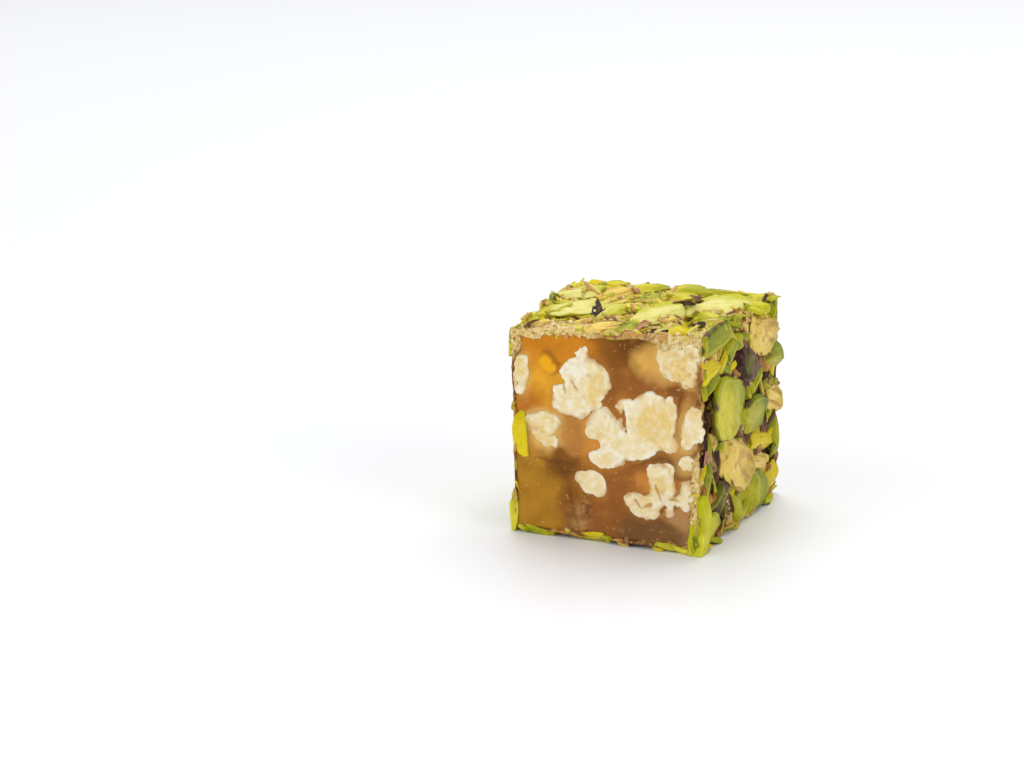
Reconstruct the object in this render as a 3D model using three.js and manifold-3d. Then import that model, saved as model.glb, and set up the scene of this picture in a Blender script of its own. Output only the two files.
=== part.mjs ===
// A cube of Turkish delight: amber jelly with walnut pieces, wrapped on four sides in pressed pistachio.
// Millimetres, +Z up. The origin lies on the surface that the cube stands on, under its middle.
// The knife's two cut faces look along -Y (front) and +Y (back), and show the jelly, walnut and coat.

import * as THREE from "three";
import { mergeVertices } from "three/addons/utils/BufferGeometryUtils.js";
import Module from "manifold-3d";

const wasm = await Module();
wasm.setup();

// Driving dimensions
const CUBE = 30; // side of the cube, over the pistachio
const JELLY = 26.8; // side of the jelly's square section
const BED = 1; // layer of crumbs and syrup that holds the pistachio
const PROUD = 0.6; // furthest that a pistachio piece stands past the cube's side
const KNIFE_SINK = 0.2; // how far the soft jelly draws back behind the knife's cut
const GAP = 0.3; // clearance round a walnut piece
const COAT_GAP = 0.1; // clearance between the jelly and its coat

// How far each corner of the soft block strays from a true cube, as [x, y, z] for left then right
const STRAY = [
  [[1.2, -0.7, 0], [-0.2, -2.3, 0]], // bottom, front
  [[-0.6, -0.4, 0], [0.2, 2.4, 0]], // bottom, back
  [[0.3, 0, -0.5], [-0.3, 0.1, 0.8]], // top, front
  [[-0.8, -0.5, 0.4], [0.5, 0.2, 0.8]], // top, back
];
const BLOCK_STEPS = 4; // divisions along each side of a block, so that it can follow the strayed corners

// Places that follow from them
const MIDDLE = CUBE / 2;
const HALF_JELLY = JELLY / 2;
const BED_TOP = HALF_JELLY + BED; // from the cube's middle to the bed's outer face

// Pistachio pieces: thickness as a share of the piece's width, and the share of it above the bed
const CHIP = {
  half: { thick: 0.34, above: 0.66 }, // half a kernel, cut side out
  back: { thick: 0.42, above: 0.58 }, // half a kernel, round side out
  slice: { thick: 0.32, above: 0.62 }, // flat sliver
};
const CHIP_SIDES = 8;
const THINNEST_CHIP = 1.2;
const THICKEST_CHIP = 2.5;
const CHIP_TILT = 7; // most degrees that a piece leans out of its side's plane
const TILT_SEED = 71;

// Profiles of the pieces, as shares of the half width and of the half thickness, from below upwards
const CHIP_PROFILE = {
  half: [[0, -1], [0.74, -0.6], [1, 0.62], [0, 0.9]],
  back: [[0, -1], [1, -0.2], [0.7, 0.66], [0, 1]],
  slice: [[0, -1], [0.9, -0.85], [1, 0.5], [0, 0.95]],
};

// Each coated side's outward direction and its across direction; along is what completes them
const SIDES = {
  right: { out: [1, 0, 0], across: [0, 0, 1] },
  top: { out: [0, 0, 1], across: [0, 1, 0] },
  left: { out: [-1, 0, 0], across: [0, 0, 1] },
  bottom: { out: [0, 0, -1], across: [0, 1, 0] },
};

// The large pieces that show best: along, across, length, width, turn in degrees, kind and, for a piece pressed
// in further than the others, by how much. Along and across are from the side's middle.
// The left side and the bottom show only at their front edge.
const LARGE_PIECES = {
  right: [
    [-6.1, 2.9, 12.8, 8.8, -15, "half"],
    [-2.0, -5.9, 12.0, 7.2, -30, "half"],
    [5.6, -11.9, 13.0, 6.8, -8, "back"],
    [-7.6, -9.2, 9.0, 5.2, -15, "back"],
    [7.8, 10.2, 12.0, 6.2, -12, "half"],
    [1.4, 7.6, 10.5, 5.8, -20, "back"],
    [-9.6, 13.2, 12.5, 4.4, 5, "slice"],
    [-12.4, 9.8, 7.0, 3.4, 5, "slice"],
    [-5.0, 10.6, 6.8, 4.2, -25, "back"],
    [4.5, -0.3, 12.0, 5.4, -5, "half"],
    [7.7, -5.2, 8.6, 4.0, -12, "slice"],
    [12.1, 5.8, 8.0, 5.6, -15, "back"],
    [7.8, -8.3, 7.5, 3.0, -20, "slice"],
    [-12.9, -7.0, 10.0, 3.2, 80, "slice"],
    [-10.4, -12.2, 7.0, 4.2, -25, "half"],
    [-1.3, -12.0, 6.5, 3.8, -60, "back"],
    [12.7, -11.5, 5.0, 4.2, 20, "slice"],
    [12.3, 0.1, 6.8, 4.8, -25, "half"],
    [13.2, 11.8, 6.0, 3.8, 75, "half", 0.5],
    [13.4, -5.2, 7.0, 3.6, 84, "back"],
    [-14.2, -12.0, 11.0, 6.0, 85, "back"],
    [-13.6, -13.4, 5.4, 3.6, 65, "back"],
  ],
  top: [
    [-8.9, -2.3, 11.5, 6.4, 72, "half"],
    [-12.0, 6.0, 9.0, 5.4, 60, "half"],
    [-12.9, -4.2, 8.6, 3.4, 84, "slice"],
    [-4.0, -2.2, 8.4, 4.4, 82, "back"],
    [-2.1, -12.0, 8.2, 4.4, 68, "slice"],
    [1.8, -12.8, 7.6, 3.4, 84, "slice"],
    [3.8, -3.3, 14.0, 5.4, 78, "half"],
    [9.7, -12.4, 5.2, 3.6, 50, "back"],
    [9.8, 4.0, 12.0, 6.6, 68, "half"],
    [-9.6, 13.0, 8.0, 3.6, -32, "slice"],
    [-4.2, 12.8, 7.4, 4.2, 12, "half"],
    [1.6, 12.8, 9.2, 4.6, 6, "back"],
    [-0.7, 4.3, 11.0, 4.0, 96, "slice"],
    [2.6, 8.6, 7.8, 4.4, 62, "half"],
    [8.4, 12.6, 7.4, 4.2, -12, "slice"],
    [13.0, 11.8, 5.0, 3.6, 55, "half"],
    [-7.0, 8.0, 7.8, 4.6, 58, "back"],
    [12.6, -7.0, 7.6, 3.6, 76, "half"],
  ],
  left: [
    [13.6, 12.6, 4.6, 3.4, 80, "slice"],
    [12.2, 7.4, 7.0, 4.2, 86, "slice"],
    [13.8, -0.6, 7.0, 6.0, 88, "back", 1.2],
    [10.4, -4.6, 7.4, 4.0, 60, "slice"],
    [13.6, -12.2, 6.4, 5.0, 80, "half"],
  ],
  bottom: [
    [10.8, -13.4, 6.6, 4.4, 2, "slice"],
    [1.2, -13.6, 4.0, 2.8, -4, "slice"],
    [-10.4, -13.4, 6.6, 4.4, 6, "slice"],
  ],
};
const FRONT_STRIP = 8; // depth of the strip at the front that the left and bottom pieces above fill

// Rules for what the layout above leaves: large pieces behind the front strip, and small chips between on all
const LARGE_RULE = { across: 4, length: [8, 13], width: [4.2, 7.4], seed: 11 };
const SMALL_RULE = { across: 3, length: [4.4, 7.6], width: [2.8, 4.4], seed: 23 };
const JITTER = 0.34; // how far a piece strays from its place in the rule's grid, as a share of the pitch
const SMALL_SINK = 0.3; // how much deeper a small chip sits than a large one

// Walnut pieces at the front cut: each lobe that the knife went through is [x, z, half width, half height].
const FRONT_WALNUTS = {
  upper: [
    [-2.8, 22.6, 3.0, 3.5],
    [-5.9, 19.6, 2.5, 2.2],
    [-4.2, 18.8, 2.0, 1.5],
    [-3.8, 26.2, 1.0, 1.6],
  ],
  left_edge: [[-13.1, 23.4, 1.3, 2.5]],
  left: [
    [-10.0, 15.8, 2.3, 2.2],
    [-8.9, 13.7, 1.6, 1.1],
  ],
  centre: [
    [-0.5, 16.1, 2.5, 3.0],
    [6.8, 17.5, 3.9, 4.2],
    [0.2, 12.1, 3.0, 1.6],
    [4.4, 14.0, 3.6, 1.9],
    [3.2, 19.3, 1.9, 1.3],
  ],
  right_edge: [[13.0, 17.4, 1.6, 2.7]],
  corner: [
    [10.4, 26.0, 2.9, 2.4],
    [12.2, 24.3, 1.4, 1.6],
  ],
  lower: [
    [-2.0, 8.4, 2.1, 1.8],
    [-3.4, 9.0, 1.6, 1.05],
    [-1.2, 7.7, 1.4, 1.4],
  ],
  curl: [
    [8.6, 10.7, 2.1, 1.6],
    [8.8, 8.8, 2.1, 2.3],
    [6.2, 5.9, 2.5, 1.8],
    [4.4, 6.6, 1.3, 1.3],
    [10.6, 7.0, 1.5, 1.0],
    [12.7, 7.9, 1.15, 2.25],
  ],
};
const LOBE_DEPTH = 0.85; // a lobe's depth into the jelly, as a share of its mean half size
const LOBE_SIDES = 9;
const LOBE_RINGS = 4;
const WRINKLES = 5; // folds round a lobe
const WRINKLE = 0.07; // their depth, as a share of the lobe's size

// Rule for the walnut pieces at the back cut
const BACK_RULE = { across: 3, size: [2.2, 3.3], lobes: 3, skipped: [2, 4, 6], seed: 41 };
const BACK_JITTER = 0.26; // how far a piece strays from its place, as a share of the pitch
const BACK_REACH = 0.9; // from the first lobe's middle to the next ones, as a share of the first's size

// A repeatable stream of numbers from 0 to 1.
function draws(seed) {
  let state = seed;
  return () => {
    state = (state * 1664525 + 1013904223) % 4294967296;
    return state / 4294967296;
  };
}

const between = ([low, high], share) => low + (high - low) * share;
const either = (draw) => 2 * draw() - 1;

// How far a point of the true cube strays, blended between the corners.
function strayAt(point) {
  const blend = ([a, b], share) => new THREE.Vector3().lerpVectors(a, b, share);
  const edges = STRAY.map((pair) =>
    blend(pair.map((corner) => new THREE.Vector3(...corner)), point.x / CUBE + 0.5),
  );
  const bottom = blend(edges.slice(0, 2), point.y / CUBE + 0.5);
  const top = blend(edges.slice(2), point.y / CUBE + 0.5);
  return blend([bottom, top], point.z / CUBE);
}

// A closed geometry as a solid that can be joined and cut, moved from the true cube to the soft block.
function solidOf(geometry) {
  const bare = geometry.index ? geometry.toNonIndexed() : geometry.clone();
  bare.deleteAttribute("normal");
  bare.deleteAttribute("uv");
  const merged = mergeVertices(bare, 1e-4);
  const position = merged.attributes.position;
  const point = new THREE.Vector3();
  for (let i = 0; i < position.count; i++) {
    point.fromBufferAttribute(position, i);
    point.add(strayAt(point));
    position.setXYZ(i, point.x, point.y, point.z);
  }
  const triangles = [];
  const index = merged.index.array;
  for (let i = 0; i < index.length; i += 3) {
    const corners = new Set(index.slice(i, i + 3));
    if (corners.size === 3) triangles.push(...corners);
  }
  return new wasm.Manifold(
    new wasm.Mesh({
      numProp: 3,
      vertProperties: position.array,
      triVerts: new Uint32Array(triangles),
    }),
  );
}

// A solid as a geometry for a mesh.
function geometryOf(solid) {
  const mesh = solid.getMesh();
  const geometry = new THREE.BufferGeometry();
  geometry.setAttribute("position", new THREE.BufferAttribute(mesh.vertProperties, 3));
  geometry.setIndex(new THREE.BufferAttribute(mesh.triVerts, 1));
  geometry.computeVertexNormals();
  return geometry;
}

const joined = (solids) => solids.reduce((whole, next) => whole.add(next));
const without = (solid, others) => others.reduce((left, other) => left.subtract(other), solid);

// The largest body of a solid, without loose scraps and with sealed hollows filled.
function largest(solid) {
  return solid.decompose().reduce((a, b) => (b.volume() > a.volume() ? b : a));
}

// A box whose middle is at the given height.
function block(width, depth, height, middle = MIDDLE) {
  const steps = [BLOCK_STEPS, BLOCK_STEPS, BLOCK_STEPS];
  return solidOf(new THREE.BoxGeometry(width, depth, height, ...steps).translate(0, 0, middle));
}

// One pistachio piece, lying on the XY plane with its outside up and its middle at the origin.
function chip(kind, length, width, thickness) {
  const profile = CHIP_PROFILE[kind].map(([r, h]) => new THREE.Vector2(r, h));
  return new THREE.LatheGeometry(profile, CHIP_SIDES)
    .rotateX(Math.PI / 2)
    .scale(length / 2, width / 2, thickness / 2);
}

// The frame of a coated side: along, across and outward directions, from the cube's middle.
function sideFrame({ out, across }) {
  const outward = new THREE.Vector3(...out);
  const upward = new THREE.Vector3(...across);
  const along = new THREE.Vector3().crossVectors(upward, outward);
  return new THREE.Matrix4().makeBasis(along, upward, outward).setPosition(0, 0, MIDDLE);
}

// Pieces on a jittered square grid over one side.
function piecesByRule({ across, length, width, seed }, sideNumber) {
  const draw = draws(seed + 100 * sideNumber);
  const kinds = Object.keys(CHIP);
  const pitch = CUBE / across;
  const pieces = [];
  for (let cell = 0; cell < across * across; cell++) {
    const place = [cell % across, Math.floor(cell / across)].map(
      (n) => (n + 0.5 + JITTER * either(draw)) * pitch - MIDDLE,
    );
    const size = [between(length, draw()), between(width, draw())];
    const turn = 180 * draw();
    pieces.push([...place, ...size, turn, kinds[Math.floor(draw() * kinds.length)]]);
  }
  return pieces;
}

// Large pieces by rule behind the front strip of a side that is hidden there.
function hiddenPieces(side, sideNumber) {
  const backward = { left: ([along]) => -along, bottom: ([, across]) => across }[side];
  if (!backward) return [];
  const strip = FRONT_STRIP - MIDDLE;
  return piecesByRule(LARGE_RULE, sideNumber).filter((piece) => backward(piece) > strip);
}

// The solids of one side's pieces, leaning a little and set into the bed.
function setPieces(pieces, sideNumber, frame, sink) {
  const draw = draws(TILT_SEED + sideNumber);
  const degrees = THREE.MathUtils.degToRad;
  return pieces.map(([along, across, length, width, turn, kind, deeper = 0]) => {
    const { thick, above } = CHIP[kind];
    const thickness = THREE.MathUtils.clamp(thick * width, THINNEST_CHIP, THICKEST_CHIP);
    const height = BED_TOP + thickness * (above - 0.5) - sink - deeper;
    const geometry = chip(kind, length, width, thickness)
      .rotateX(degrees(CHIP_TILT * either(draw)))
      .rotateY(degrees(CHIP_TILT * either(draw)))
      .rotateZ(degrees(turn))
      .translate(along, across, height)
      .applyMatrix4(frame);
    return solidOf(geometry);
  });
}

// The pistachio coat: a sleeve of bedding round the jelly with the pieces fused to it, pressed and cut.
function pistachioCoat() {
  const hollow = block(JELLY + 2 * COAT_GAP, CUBE + 2, JELLY + 2 * COAT_GAP);
  const bed = block(2 * BED_TOP, CUBE, 2 * BED_TOP);
  const pieces = Object.keys(SIDES).flatMap((side, number) => {
    const frame = sideFrame(SIDES[side]);
    const large = [...LARGE_PIECES[side], ...hiddenPieces(side, number)];
    const small = piecesByRule(SMALL_RULE, number);
    return [
      ...setPieces(large, number, frame, 0),
      ...setPieces(small, number, frame, SMALL_SINK),
    ];
  });
  const pressed = block(CUBE + 2 * PROUD, CUBE, CUBE + PROUD, (CUBE + PROUD) / 2);
  return largest(joined([bed, ...pieces]).intersect(pressed).subtract(hollow));
}

// A wrinkled egg-shaped lobe of walnut, with its middle on the cut that it faces.
function lobe([x, z, halfWidth, halfHeight], facing, grow) {
  const halfDepth = (LOBE_DEPTH * (halfWidth + halfHeight)) / 2;
  const geometry = new THREE.SphereGeometry(1, LOBE_SIDES, LOBE_RINGS);
  const position = geometry.attributes.position;
  const point = new THREE.Vector3();
  for (let i = 0; i < position.count; i++) {
    point.fromBufferAttribute(position, i);
    const round = Math.hypot(point.x, point.z);
    const fold = 1 + WRINKLE * round * Math.sin(WRINKLES * Math.atan2(point.z, point.x) + x + z);
    const size = [fold * halfWidth + grow, halfDepth + grow, fold * halfHeight + grow];
    position.setXYZ(i, point.x * size[0], point.y * size[1], point.z * size[2]);
  }
  return solidOf(geometry.translate(x, facing * MIDDLE, z));
}

// Lobes of the walnut pieces at the back cut, placed by rule: a large lobe with smaller ones round it.
function backWalnuts() {
  const { across, size, lobes, skipped, seed } = BACK_RULE;
  const draw = draws(seed);
  const pitch = JELLY / across;
  const recipes = {};
  for (let cell = 0; cell < across * across; cell++) {
    const [x, z] = [cell % across, Math.floor(cell / across)].map(
      (n) => (n + 0.5 + BACK_JITTER * either(draw)) * pitch - HALF_JELLY,
    );
    const radius = between(size, draw());
    const recipe = [[x, z + MIDDLE, radius, radius * between([0.75, 1.1], draw())]];
    let angle = 2 * Math.PI * draw();
    for (let n = 1; n < lobes; n++) {
      angle += between([1.4, 2.4], draw());
      const small = radius * between([0.5, 0.75], draw());
      const reach = BACK_REACH * radius;
      recipe.push([x + reach * Math.cos(angle), z + MIDDLE + reach * Math.sin(angle), small, small]);
    }
    if (!skipped.includes(cell)) recipes[cell + 1] = recipe;
  }
  return recipes;
}

// The walnut pieces of both cuts, each clear of the others, and the pockets that they leave in the jelly.
function walnutPieces() {
  const room = block(JELLY - 2 * GAP, CUBE, JELLY - 2 * GAP);
  const pieces = {};
  const pockets = [];
  const addPieces = (recipes, prefix, facing) => {
    for (const [name, lobes] of Object.entries(recipes)) {
      const whole = joined(lobes.map((size) => lobe(size, facing, 0))).intersect(room);
      pieces[`${prefix}_${name}`] = largest(without(whole, pockets));
      pockets.push(joined(lobes.map((size) => lobe(size, facing, GAP))));
    }
  };
  addPieces(FRONT_WALNUTS, "walnut_front", -1);
  addPieces(backWalnuts(), "walnut_back", 1);
  return { pieces, pockets };
}

// Materials
const jellyMaterial = new THREE.MeshStandardMaterial({ color: 0xa86a2c, roughness: 0.3, metalness: 0 });
const walnutMaterial = new THREE.MeshStandardMaterial({ color: 0xe6d6aa, roughness: 0.75, metalness: 0 });
const pistachioMaterial = new THREE.MeshStandardMaterial({ color: 0xb4b446, roughness: 0.55, metalness: 0 });

function named(name, solid, material) {
  const mesh = new THREE.Mesh(geometryOf(solid), material);
  mesh.name = name;
  return mesh;
}

// Assembly: the jelly with a pocket round every walnut piece, its coat, and the walnut pieces
const { pieces: walnuts, pockets } = walnutPieces();
const jelly = largest(without(block(JELLY, CUBE - 2 * KNIFE_SINK, JELLY), pockets));
const turkishDelight = new THREE.Group();
turkishDelight.add(named("jelly", jelly, jellyMaterial));
turkishDelight.add(named("pistachio_coat", pistachioCoat(), pistachioMaterial));
for (const [name, solid] of Object.entries(walnuts)) {
  turkishDelight.add(named(name, solid, walnutMaterial));
}

export default turkishDelight;
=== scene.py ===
# %% [markdown]
# # A cube of Turkish delight
# The sweet starts as a bar of amber starch jelly with walnut pieces cast into it. Pistachio pieces are
# pressed onto the bar's four long sides, and a knife then cuts it into cubes, so two faces of each cube
# are bare jelly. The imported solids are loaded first. They fix where each piece is, and nothing below
# moves them.

from itertools import product

import bmesh
import bpy
import numpy as np
from mathutils import Matrix, Vector


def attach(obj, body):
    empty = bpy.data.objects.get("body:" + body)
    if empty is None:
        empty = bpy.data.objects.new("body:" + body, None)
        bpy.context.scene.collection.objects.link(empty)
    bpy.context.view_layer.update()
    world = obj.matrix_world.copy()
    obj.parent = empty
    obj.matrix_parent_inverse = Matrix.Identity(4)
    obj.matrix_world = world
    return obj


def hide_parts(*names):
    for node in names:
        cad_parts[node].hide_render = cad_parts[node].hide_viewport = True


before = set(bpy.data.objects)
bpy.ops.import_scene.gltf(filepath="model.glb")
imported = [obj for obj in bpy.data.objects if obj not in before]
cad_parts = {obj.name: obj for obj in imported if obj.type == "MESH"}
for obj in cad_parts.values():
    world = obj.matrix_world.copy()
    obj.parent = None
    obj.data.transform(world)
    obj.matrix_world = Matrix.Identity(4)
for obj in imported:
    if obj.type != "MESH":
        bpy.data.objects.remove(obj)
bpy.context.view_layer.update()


# %% [markdown]
# ## The soft block
# A soft sweet is never a true cube: its corners sag and lean. Every piece is laid out on a true cube in
# millimetres, where the sides are flat and easy to measure on. Its points are then moved by a blend of
# the eight corner strays, so that jelly, nuts and coat all lean together. A lattice modifier could do the
# same, but plain arrays are shorter.

# %% The true cube and its strayed corners
MM = 0.001
CUBE = 30.0
MIDDLE = CUBE / 2
JELLY = 26.8
HALF_JELLY = JELLY / 2
BED = 1.0  # thickness of the bed that the pistachio sticks in
BED_TOP = HALF_JELLY + BED
PROUD = 0.6  # how far pistachio may stand past the cube
KNIFE_SINK = 0.2  # how far the jelly lies behind the faces that the knife cut

# [bottom or top][front or back][left or right], as x, y and z
STRAY = np.array(
    [
        [[[1.2, -0.7, 0], [-0.2, -2.3, 0]], [[-0.6, -0.4, 0], [0.2, 2.4, 0]]],
        [[[0.3, 0, -0.5], [-0.3, 0.1, 0.8]], [[-0.8, -0.5, 0.4], [0.5, 0.2, 0.8]]],
    ]
)


def soften(points):
    """Points of the true cube, in millimetres, moved to the soft block."""
    share = points / CUBE + (0.5, 0.5, 0)
    moved = points.copy()
    for corner in product((0, 1), repeat=3):
        top, back, right = corner
        weight = np.prod(np.where((right, back, top), share, 1 - share), axis=1)
        moved += weight[:, None] * STRAY[corner]
    return moved


print("largest stray of a corner in mm:", np.abs(STRAY).max())

# %% [markdown]
# ## Chance that repeats
# Food needs uneven shapes, but every run of this script must give the same cube. Two small tools do that:
# a stream of draws for sizes and places, the same one that laid out the solids, and smooth noise for
# surfaces.

# %% Draws and noise
STREAM_TIMES = 1664525
STREAM_PLUS = 1013904223
STREAM_ROUND = 2**32


def draws(seed):
    """A repeatable stream of numbers from 0 to 1."""
    state = seed
    while True:
        state = (state * STREAM_TIMES + STREAM_PLUS) % STREAM_ROUND
        yield state / STREAM_ROUND


def between(limits, share):
    return limits[0] + (limits[1] - limits[0]) * share


def lattice(cells, seed):
    """A number from -1 to 1 for each whole-number point; large odd factors scatter neighbours apart."""
    x, y, z = cells.astype(np.int64).astype(np.uint64).T
    mixed = x * 374761393 + y * 668265263 + z * 1440662683 + seed * 1274126177
    mixed = (mixed ^ (mixed >> 13)) * 1274126177
    mixed = (mixed ^ (mixed >> 17)) * 2246822519
    return ((mixed >> 16) & 0xFFFF) / 32767.5 - 1


def noise(points, size, seed=0, octaves=1):
    """Smooth noise of about -1 to 1 that varies over the given size. Each further octave is half as large."""
    total = np.zeros(len(points))
    for octave in range(octaves):
        place = points / size * 2**octave
        cell = np.floor(place)
        step = place - cell
        step = step * step * (3 - 2 * step)
        for corner in product((0, 1), repeat=3):
            weight = np.prod(np.where(corner, step, 1 - step), axis=1)
            total += weight * lattice(cell + corner, seed + octave) * 0.5**octave
    return total


def layers(points, rows):
    """Layers of noise added up, from rows of height, size, seed and octaves."""
    return sum(height * noise(points, size, seed, octaves) for height, size, seed, octaves in rows)


sample = noise(np.random.default_rng(1).uniform(-20, 20, (2000, 3)), 3.0)
print("noise runs from", round(sample.min(), 2), "to", round(sample.max(), 2))

# %% [markdown]
# ## Meshes and finishes in few words
# Pieces are made from arrays of points, so one helper turns arrays into an object, with values that the
# finish can read stored on the points. Another holds a material's nodes, so that a finish reads as a
# short recipe.

# %% Helpers for meshes and materials


def place_points(mesh, points):
    mesh.vertices.foreach_set("co", (points * MM).astype(np.float32).ravel())
    mesh.update()


def points_of(mesh):
    """A mesh's points in millimetres."""
    flat = np.zeros(len(mesh.vertices) * 3, np.float32)
    mesh.vertices.foreach_get("co", flat)
    return flat.reshape(-1, 3).astype(float) / MM


def normals_of(mesh):
    flat = np.zeros(len(mesh.vertices) * 3, np.float32)
    mesh.vertex_normals.foreach_get("vector", flat)
    return flat.reshape(-1, 3).astype(float)


def store(mesh, name, values):
    """Keeps a number, or a colour, on each point of a mesh."""
    values = np.asarray(values, np.float32)
    kind, field = ("FLOAT_COLOR", "color") if values.ndim == 2 else ("FLOAT", "value")
    layer = mesh.attributes.get(name) or mesh.attributes.new(name, kind, "POINT")
    layer.data.foreach_set(field, values.ravel())


def stored(mesh, name):
    values = np.zeros(len(mesh.vertices), np.float32)
    mesh.attributes[name].data.foreach_get("value", values)
    return values


def show(name, mesh, material):
    """Adds a finished mesh to the scene, smooth and with its finish."""
    mesh.materials.clear()
    mesh.materials.append(material)
    mesh.shade_smooth()
    made = bpy.data.objects.new(name, mesh)
    bpy.context.scene.collection.objects.link(made)
    return made


def stand_for(piece, node):
    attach(piece, "root")
    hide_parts(node)


def srgb(red, green, blue):
    """A colour of 0 to 255 as the eye sees it, as the linear values that a shader takes."""
    share = np.array([red, green, blue]) / 255
    linear = np.where(share <= 0.04045, share / 12.92, ((share + 0.055) / 1.055) ** 2.4)
    return (*linear.tolist(), 1.0)


def palette(**colours):
    """Named colours of 0 to 255, as a shader takes them."""
    return {name: srgb(*colour) for name, colour in colours.items()}


def join(tree, value, socket):
    """Feeds a socket from another node, or sets its value."""
    if isinstance(value, bpy.types.NodeSocket):
        tree.links.new(value, socket)
    else:
        socket.default_value = value


def add_to(tree, kind, inputs=None, **settings):
    """A new node of a tree, with its settings and inputs."""
    made = tree.nodes.new(kind)
    for key, value in settings.items():
        setattr(made, key, value)
    for key, value in (inputs or {}).items():
        join(tree, value, made.inputs[key])
    return made


class Finish:
    """A material and short calls that add nodes to it."""

    def __init__(self, name):
        self.material = bpy.data.materials.new(name)
        self.material.use_nodes = True
        self.tree = self.material.node_tree
        self.shader = self.tree.nodes["Principled BSDF"]
        self.place = self.add("ShaderNodeTexCoord").outputs["Object"]

    def add(self, kind, inputs=None, **settings):
        return add_to(self.tree, kind, inputs, **settings)

    def set(self, **values):
        """Sets the shader's sockets; Base_Color stands for the socket named Base Color."""
        for key, value in values.items():
            join(self.tree, value, self.shader.inputs[key.replace("_", " ")])

    def attribute(self, name, output="Fac"):
        return self.add("ShaderNodeAttribute", attribute_name=name).outputs[output]

    def speckle(self, size, detail=2.0, stretch=(1, 1, 1)):
        """Noise of the given grain size in millimetres, from 0 to 1."""
        scaled = self.add("ShaderNodeMapping", {"Vector": self.place, "Scale": stretch})
        return self.add(
            "ShaderNodeTexNoise", {"Vector": scaled.outputs[0], "Scale": 1 / (size * MM), "Detail": detail}
        ).outputs["Fac"]

    def step(self, value, low, high):
        """0 below low, 1 above high, smooth between."""
        return self.add(
            "ShaderNodeMapRange",
            {"Value": value, "From Min": low, "From Max": high},
            interpolation_type="SMOOTHSTEP",
        ).outputs["Result"]

    def math(self, operation, a, b):
        return self.add("ShaderNodeMath", {0: a, 1: b}, operation=operation).outputs[0]

    def times(self, a, b):
        return self.math("MULTIPLY", a, b)

    def most(self, a, b):
        return self.math("MAXIMUM", a, b)

    def sum(self, shares):
        """Values added up, each times its own number."""
        total = 0.0
        for value, share in shares:
            added = self.add("ShaderNodeMath", {0: value, 1: share, 2: total}, operation="MULTIPLY_ADD")
            total = added.outputs[0]
        return total

    def mix(self, share, a, b, blend="MIX"):
        """Colour a turned to colour b by the share."""
        mixed = self.add("ShaderNodeMix", {0: share, 6: a, 7: b}, data_type="RGBA", blend_type=blend)
        return mixed.outputs[2]

    def bump(self, height, depth):
        """Relief of the given depth in millimetres."""
        return self.add("ShaderNodeBump", {"Height": height, "Distance": depth * MM}).outputs["Normal"]


print("a middle grey in linear values:", [round(value, 3) for value in srgb(128, 128, 128)])
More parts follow.
